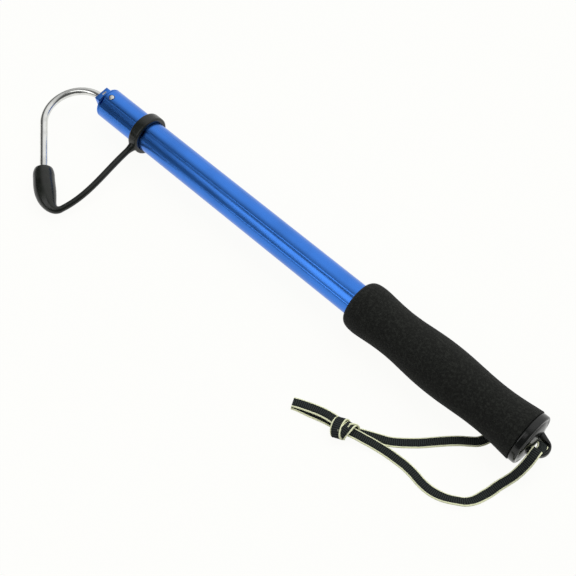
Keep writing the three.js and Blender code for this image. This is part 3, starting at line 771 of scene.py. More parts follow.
FAR_ROUTE = [
    (380.35, -3.4, 17.55), (380.35, -3.1, 15.4), (380.3, -1.9, 12.4), (380.2, 0.7, 9.2),
    (379.9, 4.2, 6), (379, 8.2, 3.4), (376.6, 11.6, 1.7), (372.8, 13.6, 0.95),
    (368, 13.9, 0.85), (362.4, 13, 0.85), (357, 9.9, 0.85), (353.4, 5, 0.82),
    (351.7, -0.5, 0.8), (351.7, -5.7, 0.82), (351, -10.3, 0.85), (348.8, -14.6, 0.85),
    (345.2, -18, 0.85), (341, -21.5, 0.85), (336.9, -25.5, 0.85), (332.6, -30.2, 0.85),
    (328.4, -35, 0.85), (324.4, -39.5, 0.85), (320.1, -43.7, 0.85), (315.5, -47.8, 0.85),
    (310.5, -51.6, 0.85), (303.5, -55.2, 1), (296.5, -59, 1.6), (291.5, -62.2, 2.3),
    (288.5, -64.4, 2.8),
]
UPPER_TAIL = [
    (282.5, -65.2, 5), (277.8, -65, 4.6), (270.5, -66, 3.8),
    (264, -67.9, 3.2), (255.4, -71.3, 2.8), (251.4, -73.3, 2.6),
]
LOWER_TAIL = [
    (282.5, -65.6, 1.7), (277.8, -66.1, 1.3), (270.5, -67.9, 0.9),
    (264.5, -69.9, 0.85), (256, -72.4, 0.85), (251.9, -73.9, 0.85),
]

# Shares of the near strand's length, and the degrees that its outer edge is raised by there
NEAR_TILTS = [(0, 0), (0.31, 0), (0.4, 17), (0.46, 17), (0.56, 0), (1, 0)]
NO_TILTS = [(0, 0), (1, 0)]

# The knot: its middle, its turn, and bands round its axis as (degrees round it, place along it)
KNOT_MIDDLE = (285.6, -66.6, 4.7)
KNOT_TURN = 18
LEFT_BAND = [
    (215, 0.4), (180, -0.8), (150, -1.9), (120, -2.8), (90, -3.2),
    (60, -3), (30, -2.2), (0, -0.8), (-30, 0.6), (-60, 1.6),
]
RIGHT_BAND = [
    (205, 1.2), (170, 1), (140, 1.6), (115, 2.3), (90, 3), (65, 3.6), (40, 4.2), (10, 4.4), (-20, 4),
]
TUCKED_BAND = [(70, 0.8), (50, 1.6), (30, 3.4), (10, 5), (-15, 6.3), (-40, 6)]
# Each band with its reach sideways and upwards from the axis, and the half-sizes of the core
KNOT_BANDS = [(RIGHT_BAND, 5.6, 3.5), (TUCKED_BAND, 5.4, 3.1), (LEFT_BAND, 6.3, 3.8)]
KNOT_CORE = (5.6, 5.8, 3.4)

# The webbing's outline: steps round an edge, and places across a face as shares of its half-width
EDGE_STEPS = 6
FACE_SHARES = (0.98, 0.9, 0.45, 0.0, -0.45, -0.9, -0.98)
# Share of a face's half-width that has ribs, and the share of its height that is left beyond them
RIBBED_SHARE, RIM_HEIGHT = 0.95, 0.8
# How far the weave goes on across the webbing from one point of the outline to the next
WEAVE_ACROSS = 0.35


def webbing_outline():
    """Half-turns round the two edge rolls and the flat faces between them: (across, up, edging, ribbed)."""
    lanyard = settings().lanyard
    half, roll, thick = lanyard.width / 2, lanyard.edge_roll / 2, lanyard.thickness / 2
    flat, face = half - lanyard.edge_roll, thick - lanyard.rib_depth
    outline = []
    for side in (1, -1):
        for step in range(EDGE_STEPS + 1):
            angle = -RIGHT_ANGLE + math.pi * step / EDGE_STEPS
            across = side * (half - roll + roll * math.cos(angle))
            outline.append((across, side * thick * math.sin(angle), True, False))
        for part in FACE_SHARES:
            ribbed = abs(part) < RIBBED_SHARE
            up = face if ribbed else face * RIM_HEIGHT
            outline.append((side * part * flat, side * up, False, ribbed))
    return outline


def lay_webbing(bm, line, across_at, weave):
    """Lays a strip of webbing along a line. Its ribs run across it and its edges are pale."""
    lanyard = settings().lanyard
    outline = webbing_outline()
    rings, along = [], 0.0
    for index, centre in enumerate(line):
        tangent = tangent_at(line, index)
        across = across_at(index, tangent)
        across = (across - tangent * across.dot(tangent)).normalized()
        up = tangent.cross(across)
        if index:
            along += (centre - line[index - 1]).length
        rib = lanyard.rib_depth * (1 - math.cos(FULL_TURN * along / lanyard.rib_pitch)) / 2
        ring = []
        for x, y, _, ribbed in outline:
            lift = math.copysign(rib, y) if ribbed else 0
            ring.append(centre + across * x + up * (y + lift))
        rings.append(ring)
    mark_webbing(skin(bm, rings), rings, outline, weave)


def mark_webbing(made, rings, outline, weave):
    """Gives the strip's faces their colour, and their place along and across for the weave."""
    sides = len(outline)
    place = {}
    for row, ring in enumerate(rings):
        for column, point in enumerate(ring):
            place[tuple(round(c, 7) for c in point)] = (row, column)
    for face in {f for v in made if v.is_valid for f in v.link_faces}:
        spots = [place.get(tuple(round(c, 7) for c in v.co)) for v in face.verts]
        if len(face.verts) != 4 or None in spots:
            face.material_index = 1
            continue
        columns = {spot[1] for spot in spots}
        face.material_index = 1 if all(outline[c][2] for c in columns) else 0
        wrapped = max(columns) - min(columns) > 1
        for loop, (row, column) in zip(face.loops, spots):
            across = sides if wrapped and column == 0 else column
            loop[weave].uv = (row / settings().lanyard.rib_steps, across * WEAVE_ACROSS)


def eased(part):
    """A share that starts and ends gently."""
    part = min(max(part, 0), 1)
    return part * part * (3 - 2 * part)


def tilt_at(tilts, part):
    """Tilt at a share of a strand's length, from a list of (share, degrees)."""
    for (low_share, low), (high_share, high) in zip(tilts, tilts[1:]):
        if part < high_share:
            return math.radians(low + (high - low) * eased((part - low_share) / (high_share - low_share)))
    return math.radians(tilts[-1][1])


def eye_to_floor(line, start_across, tilts):
    """Webbing that lies flat against the eye's bar at its start and turns to lie flat on the floor."""

    def across_at(index, tangent):
        part = index / (len(line) - 1)
        flat = Vector((tangent.y, -tangent.x, 0)).normalized()
        across = Vector((start_across, 0, 0)).lerp(flat, eased(part / LANYARD_START_SHARE))
        across = (across - tangent * across.dot(tangent)).normalized()
        return Matrix.Rotation(tilt_at(tilts, part), 3, tangent) @ across

    return across_at


def flat_on_floor(index, tangent):
    """Webbing that lies flat on the floor all the way."""
    return Vector((tangent.y, -tangent.x, 0)).normalized()


def weave_step():
    """The distance between two rings of points along the webbing."""
    return settings().lanyard.rib_pitch / settings().lanyard.rib_steps


class GAFF_OT_lanyard(bpy.types.Operator):
    """Makes the webbing lanyard: two strands, the knot and its two tails"""

    bl_idname = "gaff.lanyard"
    bl_label = "Lanyard"

    def execute(self, context):
        knot = self.knot()
        upper, _ = self.strip("lanyard_tail_upper_webbing", UPPER_TAIL, "lanyard_tail_upper")
        lower, _ = self.strip("lanyard_tail_lower_webbing", LOWER_TAIL, "lanyard_tail_lower")
        near, near_line = self.strip(
            "lanyard_near_webbing", NEAR_ROUTE, "lanyard_strand_near", -1, NEAR_TILTS
        )
        far, far_line = self.strip("lanyard_far_webbing", FAR_ROUTE, "lanyard_strand_far", 1, NO_TILTS)
        return {"FINISHED"}

    def strip(self, name, route, node, start_across=0, tilts=None):
        """A strip of webbing along a route: (piece, its line)."""
        line = smooth_line([on_floor(point) for point in route], weave_step())
        across_at = eye_to_floor(line, start_across, tilts) if tilts else flat_on_floor
        bm = bmesh.new()
        lay_webbing(bm, line, across_at, bm.loops.layers.uv.new("weave"))
        return self.woven(bm, name, node), line

    def woven(self, bm, name, node):
        piece = mesh_piece(bm, name, webbing_finishes(), sharp=60)
        stand_for(piece, "handle", "lanyard_webbing", node)
        return piece

    def knot(self):
        """Bands of webbing round the strands, one after the other, over a rounded core."""
        bm = bmesh.new()
        weave = bm.loops.layers.uv.new("weave")
        place = Matrix.Translation(on_floor(KNOT_MIDDLE)) @ Matrix.Rotation(math.radians(KNOT_TURN), 4, "Z")
        for turns, wide, high in KNOT_BANDS:
            self.band(bm, weave, place, turns, wide, high)
        core = bmesh.ops.create_uvsphere(bm, u_segments=32, v_segments=20, radius=1)["verts"]
        bmesh.ops.scale(bm, vec=Vector(KNOT_CORE) * MM, verts=core)
        bmesh.ops.transform(bm, matrix=place, verts=core)
        return self.woven(bm, "lanyard_knot_webbing", "lanyard_knot")

    def band(self, bm, weave, place, turns, wide, high):
        """A band round the knot's axis, flat against the knot all the way."""
        axis = place.to_3x3() @ Vector((1, 0, 0))
        points = []
        for degrees, along in turns:
            angle = math.radians(degrees)
            points.append(place @ (Vector((along, wide * math.cos(angle), high * math.sin(angle))) * MM))
        line = smooth_line(points, weave_step())

        def across_at(index, tangent):
            outwards = line[index] - place.translation
            outwards -= axis * outwards.dot(axis)
            return tangent.cross(outwards.normalized())

        lay_webbing(bm, line, across_at, weave)


# The pole

# Facets round a rivet's hole, and steps round the edge of a collar's lip
HOLE_SIDES = 48
LIP_STEPS = 8


def section(inset):
    """Outline of the fluted pole, moved inwards by a distance: (y, z) points in order."""
    pole = settings().pole
    radius = pole.radius - inset
    arc = pole.flute_arc + inset
    centre = pole.radius - pole.flute_depth + pole.flute_arc
    pitch = FULL_TURN / pole.flutes
    points = []
    for step in range(pole.facets):
        angle = FULL_TURN * step / pole.facets
        aside = (angle + pitch / 2) % pitch - pitch / 2
        hollow = arc * arc - (centre * math.sin(aside)) ** 2
        out = radius
        if hollow > 0:
            out = soft_least(radius, centre * math.cos(aside) - math.sqrt(hollow), pole.flute_edge)
        points.append((out * math.cos(angle), out * math.sin(angle)))
    return points


def soft_least(first, second, width):
    """The smaller of two lengths, with the corner between them rounded."""
    near = max(width - abs(first - second), 0) / width
    return min(first, second) - near * near * width / 4


def round_section(radius):
    """A round outline, with as many points as the fluted one."""
    angles = angles_round(settings().pole.facets)
    return [(radius * math.cos(angle), radius * math.sin(angle)) for angle in angles]


def station(place, outline):
    """An outline at a place along the pole."""
    return [Vector((place, y, z)) for y, z in outline]


def fluted_tube(name, outer, inner, start, end):
    """A tube of the pole's section between two insets, with its cut ends broken."""
    edge = settings().pole.edge_break
    stations = [
        (start + edge, outer), (end - edge, outer), (end, outer + edge), (end, inner - edge),
        (end - edge, inner), (start + edge, inner), (start, inner - edge), (start, outer + edge),
    ]
    bm = bmesh.new()
    skin(bm, [station(place, section(inset)) for place, inset in stations], closed=True)
    return mesh_piece(bm, name, [anodised()], sharp=30)


def insets():
    """Insets of the nested tubes from the outer skin: (middle skin, middle bore, inner skin, inner bore)."""
    pole = settings().pole
    step = 2 * RUNNING_GAP + BUSH_WALL
    middle_skin = pole.outer_wall + step
    middle_bore = middle_skin + pole.section_wall
    inner_skin = middle_bore + step
    return middle_skin, middle_bore, inner_skin, inner_skin + pole.section_wall


def tube_ends():
    """Where the middle and inner tubes start and end along the pole."""
    origin = axis_place().x
    middle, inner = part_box("middle_tube"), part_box("inner_tube")
    return middle[0].x - origin, middle[1].x - origin, inner[0].x - origin, inner[1].x - origin


def rivet_angles():
    """The rivets' places round the pole, as angles from its +Y side."""
    pole = settings().pole
    return [pole.first_rivet, pole.second_rivet]


def rivet_holes():
    """Round pegs along radii of the pole, as cutters for the rivets' holes."""
    pole = settings().pole
    low, high = pole.radius / 2, pole.radius * 1.5
    bm = bmesh.new()
    for angle in rivet_angles():
        made = bmesh.ops.create_cone(
            bm, cap_ends=True, segments=HOLE_SIDES, radius1=pole.rivet_hole, radius2=pole.rivet_hole,
            depth=high - low,
        )["verts"]
        stand = Matrix.Translation((0, 0, (low + high) / 2))
        upright = Matrix.Rotation(angle - RIGHT_ANGLE, 4, "X")
        along = Matrix.Translation((pole.rivet_place, 0, 0))
        bmesh.ops.transform(bm, matrix=along @ upright @ stand, verts=made)
    return bm


class GAFF_OT_tubes(bpy.types.Operator):
    """Makes the three fluted tubes that slide in one another"""

    bl_idname = "gaff.tubes"
    bl_label = "Tubes"

    def execute(self, context):
        wall = settings().pole.outer_wall
        outer_end = OUTER_TUBE_START + settings().pole.outer_length
        middle_skin, middle_bore, inner_skin, inner_bore = insets()
        middle_start, middle_end, inner_start, inner_end = tube_ends()
        tubes = [
            ("outer_tube", "handle", 0, wall, OUTER_TUBE_START, outer_end),
            ("middle_tube", "middle_section", middle_skin, middle_bore, middle_start, middle_end),
            ("inner_tube", "hook_section", inner_skin, inner_bore, inner_start, inner_end),
        ]
        for node, body, *sizes in tubes:
            tube = fluted_tube(node + "_metal", *sizes)
            if node == "outer_tube":
                cut(tube, rivet_holes())
                smooth(tube, sharp=30)
            stand_for(tube, body, "blue_anodised", node, place=laid())
        return {"FINISHED"}


class GAFF_OT_collars(bpy.types.Operator):
    """Makes the rounded collars at the mouths of the outer and middle tubes"""

    bl_idname = "gaff.collars"
    bl_label = "Collars"

    def execute(self, context):
        pole = settings().pole
        middle_skin, middle_bore, inner_skin, _ = insets()
        middle_start = pole.collar_start - SEAT_GAP - pole.middle_lip
        outer = self.collar(
            "outer_collar_metal", pole.collar_start, pole.collar_lip, pole.radius, pole.lip_round,
            pole.outer_wall, middle_skin,
        )
        stand_for(outer, "handle", "blue_anodised", "outer_collar", place=laid())
        middle = self.collar(
            "middle_collar_metal", middle_start, pole.middle_lip, pole.middle_lip_radius,
            pole.middle_lip_round, middle_bore, inner_skin,
        )
        stand_for(middle, "middle_section", "blue_anodised", "middle_collar", place=laid())
        return {"FINISHED"}

    def collar(self, name, start, lip, radius, rounding, tube_bore, sliding_skin):
        """A collar with its lip in front of the tube and its spigot inside it."""
        edge, end = settings().pole.edge_break, start + settings().pole.collar_spigot
        bore = section(sliding_skin - RUNNING_GAP)
        spigot = section(tube_bore + RUNNING_GAP)
        front = round_corner((start + rounding, radius - rounding), rounding, 180, 90, LIP_STEPS)
        rings = [station(start, section(sliding_skin - RUNNING_GAP - edge))]
        rings += [station(place, round_section(out)) for place, out in front]
        rings += [
            station(start + lip - edge, round_section(radius)),
            station(start + lip, round_section(radius - edge)),
            station(start + lip, spigot),
            station(end, spigot),
            station(end, bore),
            station(start + edge, bore),
        ]
        bm = bmesh.new()
        skin(bm, rings, closed=True)
        return mesh_piece(bm, name, [anodised()], sharp=30)


class GAFF_OT_rivets(bpy.types.Operator):
    """Makes the two domed rivets of the outer collar"""

    bl_idname = "gaff.rivets"
    bl_label = "Rivets"

    dome_steps: count("Dome steps", "Steps from the rim of a rivet's dome to its top", 8)
    sides: count("Sides", "Facets round a rivet", 40)

    def execute(self, context):
        pole = settings().pole
        seat = pole.radius - pole.outer_wall
        top = pole.radius + pole.rivet_stand
        profile = [(seat, 0), (seat, pole.rivet_radius)]
        for step in range(self.dome_steps + 1):
            part = RIGHT_ANGLE * step / self.dome_steps
            height = top - pole.rivet_dome + pole.rivet_dome * math.sin(part)
            profile.append((height, pole.rivet_radius * math.cos(part)))
        profile[-1] = (top, 0)
        for angle, node in zip(rivet_angles(), ("outer_rivet_top", "outer_rivet_under")):
            bm = bmesh.new()
            spin_profile(bm, profile, self.sides)
            piece = mesh_piece(bm, node + "_head", [steel()])
            upright = Matrix.Rotation(angle, 4, "X") @ Matrix.Rotation(RIGHT_ANGLE, 4, "Z")
            place = laid() @ Matrix.Translation((pole.rivet_place, 0, 0)) @ upright
            stand_for(piece, "handle", "rivet_steel", node, place=place)
        return {"FINISHED"}


def holder_back():
    """Where the hook's holder ends, just in front of the inner tube."""
    return tube_ends()[2] - SEAT_GAP


class GAFF_OT_holder(bpy.types.Operator):
    """Makes the flat-sided holder of the hook, with the bright slot on its top"""

    bl_idname = "gaff.holder"
    bl_label = "Hook holder"

    slot_length: length("Slot length", "Length of the slot across the holder", 3.3)
    slot_width: length("Slot width", "Width of the slot along the holder", 1.2)
    slot_depth: length("Slot depth", "Depth of the slot", 0.7)
    slot_aside: length("Slot aside", "Distance of the slot from the middle", 1)
    slot_inset: length("Slot inset", "Distance of the slot from the back of the holder", 0.9)
    slot_corner: share("Slot corner", "Rounding of the slot's corners, as a share of its width", 0.48)

    def execute(self, context):
        pole = settings().pole
        back, top = holder_back(), pole.nose_thickness / 2
        bm = block((pole.nose_length, pole.nose_width, pole.nose_thickness))
        nose_middle = Vector((back - pole.nose_length / 2, pole.nose_aside, 0))
        bmesh.ops.translate(bm, vec=nose_middle, verts=bm.verts)
        bevel(bm, bm.edges, pole.nose_corner, segments=4)
        holder = mesh_piece(bm, "hook_holder_metal", [anodised(), steel()], sharp=30)
        slot = block((self.slot_width, self.slot_length, 2 * self.slot_depth))
        upright = [e for e in slot.edges if abs((e.verts[0].co - e.verts[1].co).z) > TINY]
        bevel(slot, upright, self.slot_width * self.slot_corner, segments=6)
        middle = (back - self.slot_inset - self.slot_width / 2, self.slot_aside, top)
        bmesh.ops.translate(slot, vec=middle, verts=slot.verts)
        cut(holder, slot)
        self.brighten(holder, middle)
        self.add_stem(holder, back)
        smooth(holder, sharp=30)
        stand_for(holder, "hook_section", "blue_anodised", "hook_holder", place=laid())
        return {"FINISHED"}

    def brighten(self, holder, middle):
        """Gives the slot's walls and floor the bright finish: small faces by the slot, under the top."""
        under_top, largest, reach = middle[2] - 0.1 * MM, 6 * MM * MM, 0.55
        for face in holder.data.polygons:
            place = face.center
            along = abs(place.x - middle[0]) < self.slot_width * reach
            across = abs(place.y - middle[1]) < self.slot_length * reach
            if along and across and 0 < place.z < under_top and face.area < largest:
                face.material_index = 1

    def add_stem(self, holder, back):
        """The fluted stem that goes in the inner tube."""
        pole = settings().pole
        outline = section(insets()[3] + RUNNING_GAP)
        bm = bmesh.new()
        bm.from_mesh(holder.data)
        skin(bm, [station(back - pole.nose_length / 4, outline), station(back + pole.collar_spigot, outline)])
        bm.to_mesh(holder.data)
        bm.free()


def hook_line():
    """The bend's centre, where the leg starts, the leg's direction and the side towards the bend."""
    hook = settings().hook
    front = holder_back() - settings().pole.nose_length
    leg_angle = math.pi - hook.bend_turn
    centre = Vector((front - hook.bend_lead, -hook.bend_radius, 0))
    along = Vector((math.cos(leg_angle), -math.sin(leg_angle), 0))
    side = Vector((math.sin(leg_angle), math.cos(leg_angle), 0))
    return centre, centre - side * hook.bend_radius, along, side


def verts_in(items):
    return [item for item in items if isinstance(item, bmesh.types.BMVert)]


class GAFF_OT_hook(bpy.types.Operator):
    """Makes the round steel hook: shank, bend, leg and point"""

    bl_idname = "gaff.hook"
    bl_label = "Hook"

    leg_steps: count("Leg steps", "Steps along the straight part of the leg", 6)
    point_steps: count("Point steps", "Steps along the tapered point", 12)
    taper: share("Taper", "How early the point narrows, where one is an even taper", 0.8)

    def execute(self, context):
        hook = settings().hook
        centre, leg_start, along, _ = hook_line()
        bm = bmesh.new()
        ring = bmesh.ops.create_circle(
            bm, cap_ends=True, segments=hook.sides, radius=hook.wire_radius
        )["verts"]
        upright = Matrix.Rotation(RIGHT_ANGLE, 4, "Y")
        bmesh.ops.transform(bm, matrix=Matrix.Translation((hook.shank, 0, 0)) @ upright, verts=ring)
        ring = self.push(bm, ring, Vector((centre.x - hook.shank, 0, 0)))
        ring = self.bend(bm, ring, centre)
        straight = hook.leg - hook.point
        for _ in range(self.leg_steps):
            ring = self.push(bm, ring, along * straight / self.leg_steps)
        self.sharpen(bm, ring, leg_start + along * straight, along * hook.point / self.point_steps)
        bmesh.ops.recalc_face_normals(bm, faces=bm.faces)
        piece = mesh_piece(bm, "hook_steel_wire", [steel()])
        stand_for(piece, "hook_section", "hook_steel", "hook", place=laid())
        return {"FINISHED"}

    def sharpen(self, bm, ring, middle, step):
        """The tapered point, with its tip closed."""
        hook = settings().hook
        before = hook.wire_radius
        for number in range(1, self.point_steps + 1):
            part = number / self.point_steps
            radius = hook.tip_radius + (hook.wire_radius - hook.tip_radius) * (1 - part) ** self.taper
            ring = self.push(bm, ring, step)
            middle = middle + step
            for vert in ring:
                vert.co = middle + (vert.co - middle) * (radius / before)
            before = radius
        bmesh.ops.contextual_create(bm, geom=self.edges_of(ring))

    def edges_of(self, ring):
        chosen = set(ring)
        return [e for e in {e for v in ring for e in v.link_edges} if chosen.issuperset(e.verts)]

    def push(self, bm, ring, vector):
        """Draws a ring of the wire out along a vector."""
        new = verts_in(bmesh.ops.extrude_edge_only(bm, edges=self.edges_of(ring))["geom"])
        bmesh.ops.translate(bm, vec=vector, verts=new)
        return new

    def bend(self, bm, ring, centre):
        """Draws a ring of the wire round the bend."""
        hook = settings().hook
        return verts_in(bmesh.ops.spin(
            bm, geom=ring + self.edges_of(ring), cent=centre, axis=(0, 0, 1), dvec=(0, 0, 0),
            angle=hook.bend_turn, steps=hook.bend_steps, use_merge=False, use_duplicate=False,
        )["geom_last"])


# Radii of the guard's cap along its line, as shares of its radius
CAP_SHARES = [
    0.86, 0.96, 1.0, 1.0, 1.01, 1.02, 1.02, 1.01, 0.98,
    0.93, 0.86, 0.77, 0.66, 0.54, 0.43, 0.35, 0.31,
]
# Points along the curves of the cap and the strap, and steps along the web
CAP_POINTS, STRAP_POINTS, WEB_STEPS = 200, 50, 16
# Facets round the cap, the strap and the ring, and steps round an edge of the ring
CAP_SIDES, STRAP_SIDES, RING_SIDES, CORNER_STEPS = 48, 24, 120, 6
# The strap leaves the cap this way, in the hook's plane
STRAP_LEAVES = Vector((0.35, 0.94, 0)).normalized()


def value_along(shares, part):
    """A value between the entries of a list, on straight lines from one to the next."""
    place = min(max(part, 0), 1) * (len(shares) - 1)
    low = min(int(place), len(shares) - 2)
    return shares[low] + (shares[low + 1] - shares[low]) * (place - low)


def plane_rings(line, radii, sides):
    """Rings round a line in the hook's plane, each with its own radius."""
    rings = []
    for index, centre in enumerate(line):
        tangent = tangent_at(line, index)
        across = Vector((-tangent.y, tangent.x, 0)).normalized()
        ring = []
        for angle in angles_round(sides):
            out = across * math.cos(angle) + Vector((0, 0, math.sin(angle)))
            ring.append(centre + out * radii[index])
        rings.append(ring)
    return rings


class GAFF_OT_guard(bpy.types.Operator):
    """Makes the rubber point guard: cap, strap, flared web and ring in one moulding"""

    bl_idname = "gaff.guard"
    bl_label = "Point guard"

    cap_step: length("Cap step", "Distance between two rings of the cap's skin", 0.7)
    bore_gap: length("Bore gap", "Gap between the wire and the cap's bore", 0.12)
    bore_lead: length("Bore lead", "How far the bore's cutter starts outside the cap", 4)
    ring_gap: length("Ring gap", "Gap between the pole and the ring", 0.1)
    ring_chamfer: length("Ring chamfer", "Chamfer on the ring's inner edges", 0.2)
    web_rise: length("Web rise", "How much higher the web is at the ring than the strap is", 1.6)
    web_inset: length("Web inset", "How far the web stays inside the ring's sides", 0.3)

    def execute(self, context):
        guard, hook, pole = settings().guard, settings().hook, settings().pole
        _, leg_start, along, side = hook_line()

        def on_leg(distance, aside):
            return leg_start + along * distance + side * aside

        mouth = on_leg(hook.leg - guard.cover, 0)
        cap_end = on_leg(hook.leg + guard.beyond, guard.aside)
        cap = interpolate_bezier(
            mouth, mouth + along * (guard.cover + guard.beyond / 4),
            cap_end - STRAP_LEAVES * (guard.beyond * 2 / 3), cap_end, CAP_POINTS,
        )
        ring_middle = guard.ring_place + guard.ring_width / 2
        outer = pole.radius + RUNNING_GAP + guard.ring_wall
        lug_end = Vector((ring_middle, -outer - guard.lug, 0))
        run = (lug_end - cap_end).length / 3
        strap = interpolate_bezier(
            cap_end - STRAP_LEAVES * guard.strap_radius, cap_end + STRAP_LEAVES * run,
            lug_end - Vector((0, run, 0)), lug_end + Vector((0, guard.lug / 2, 0)), STRAP_POINTS,
        )
        bm = bmesh.new()
        self.cap(bm, even_line(cap, self.cap_step))
        skin(bm, plane_rings(strap, [guard.strap_radius] * len(strap), STRAP_SIDES))
        self.web(bm, ring_middle, outer)
        self.ring(bm, outer)
        piece = mesh_piece(bm, "point_guard_rubber", [rubber()])
        one_skin(piece, guard.grain, passes=6)
        bore = bmesh.new()
        bore_line = [on_leg(hook.leg - guard.cover - self.bore_lead, 0), on_leg(hook.leg + SEAT_GAP, 0)]
        skin(bore, plane_rings(bore_line, [hook.wire_radius + self.bore_gap] * 2, CAP_SIDES))
        cut(piece, bore)
        smooth(piece, sharp=50)
        place = laid()
        piece.data.transform(place)
        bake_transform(piece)
        stand_for(piece, None, "black_rubber", "guard_cap", "guard_strap", "guard_ring")
        return {"FINISHED"}

    def cap(self, bm, line):
        """The swollen sleeve over the point, with a rounded mouth."""
        guard = settings().guard
        parts = [index / (len(line) - 1) for index in range(len(line))]
        radii = [guard.cap_radius * value_along(CAP_SHARES, part) for part in parts]
        skin(bm, plane_rings(line, radii, CAP_SIDES))

    def web(self, bm, ring_middle, outer):
        """The flared web between the ring and the strap: as wide as the ring at its root."""
        guard = settings().guard
        rings = []
        for number in range(WEB_STEPS + 1):
            part = number / WEB_STEPS
            aside = -outer + guard.ring_wall / 2 - part * (guard.lug + guard.ring_wall)
            place = Vector((ring_middle, aside, 0))
            ease = (1 - part) ** 2
            wide = guard.strap_radius + (guard.ring_width / 2 - self.web_inset - guard.strap_radius) * ease
            high = guard.strap_radius + self.web_rise * ease
            rings.append([
                place + Vector((wide * math.cos(angle), 0, high * math.sin(angle)))
                for angle in angles_round(STRAP_SIDES)
            ])
        skin(bm, rings)

    def ring(self, bm, outer):
        """The wide soft band round the pole."""
        guard = settings().guard
        inner = settings().pole.radius + self.ring_gap
        start, end, corner = guard.ring_place, guard.ring_place + guard.ring_width, guard.ring_round
        profile = [(start + self.ring_chamfer, inner)]
        profile += round_corner((start + corner, outer - corner), corner, 180, 90, CORNER_STEPS)
        profile += round_corner((end - corner, outer - corner), corner, 90, 0, CORNER_STEPS)
        profile += [(end - self.ring_chamfer, inner)]
        made = bmesh.new()
        spin_profile(made, profile, RING_SIDES)
        band = bpy.data.meshes.new("band")
        made.to_mesh(band)
        made.free()
        bm.from_mesh(band)
        bpy.data.meshes.remove(band)


# Outline of the foam grip: shares of its length and of the belly's radius
GRIP_SHARES = [
    (0.0, 0.71), (0.004, 0.82), (0.012, 0.89), (0.025, 0.945), (0.045, 0.977), (0.08, 0.99), (0.13, 0.96),
    (0.19, 0.92), (0.25, 0.902), (0.31, 0.914), (0.38, 0.955), (0.45, 0.99), (0.52, 1.0), (0.59, 0.985),
    (0.66, 0.95), (0.73, 0.915), (0.79, 0.9), (0.85, 0.908), (0.91, 0.94), (0.96, 0.98), (0.99, 1.003),
]


def grip_end():
    """Where the foam grip ends, measured from the mouth."""
    return OUTER_TUBE_START + settings().pole.outer_length + settings().handle.grip_overhang


class GAFF_OT_grip(bpy.types.Operator):
    """Makes the waisted foam grip"""

    bl_idname = "gaff.grip"
    bl_label = "Foam grip"

    steps: count("Steps", "Facets round the grip", 128)
    bore_gap: length("Bore gap", "Gap between the foam and the tube", 0.1)
    line_step: length("Outline step", "Distance between two points of the grip's outline", 1.1)
    end_round: length("End round", "Rounding of the grip's edge at the butt", 0.25)

    def execute(self, context):
        handle = settings().handle
        end = grip_end()
        start = end - handle.grip_length
        points = []
        for along, out in GRIP_SHARES:
            points.append(Vector((start + handle.grip_length * along, 0, handle.belly_radius * out)))
        points.append(Vector((end - self.end_round, 0, handle.butt_radius)))
        outline = smooth_line(points, self.line_step)
        bore = settings().pole.radius + self.bore_gap
        profile = [(start, bore)] + [(p.x, p.z) for p in outline]
        profile += [(end, handle.butt_radius - self.end_round), (end, bore)]
        bm = bmesh.new()
        spin_profile(bm, profile, self.steps)
        piece = mesh_piece(bm, "foam_grip_skin", [foam()], sharp=50)
        stand_for(piece, "handle", "black_foam", "foam_grip", place=level())
        return {"FINISHED"}


# Facets round the cap, steps along its dome, steps along the eye's loop and facets round the loop
HEAD_SIDES, DOME_STEPS = 128, 12
LOOP_STEPS, LOOP_SIDES = 72, 32


def squarish(value):
    """A sine or cosine drawn out towards a square with soft corners."""
    return math.copysign(abs(value) ** 0.7, value)


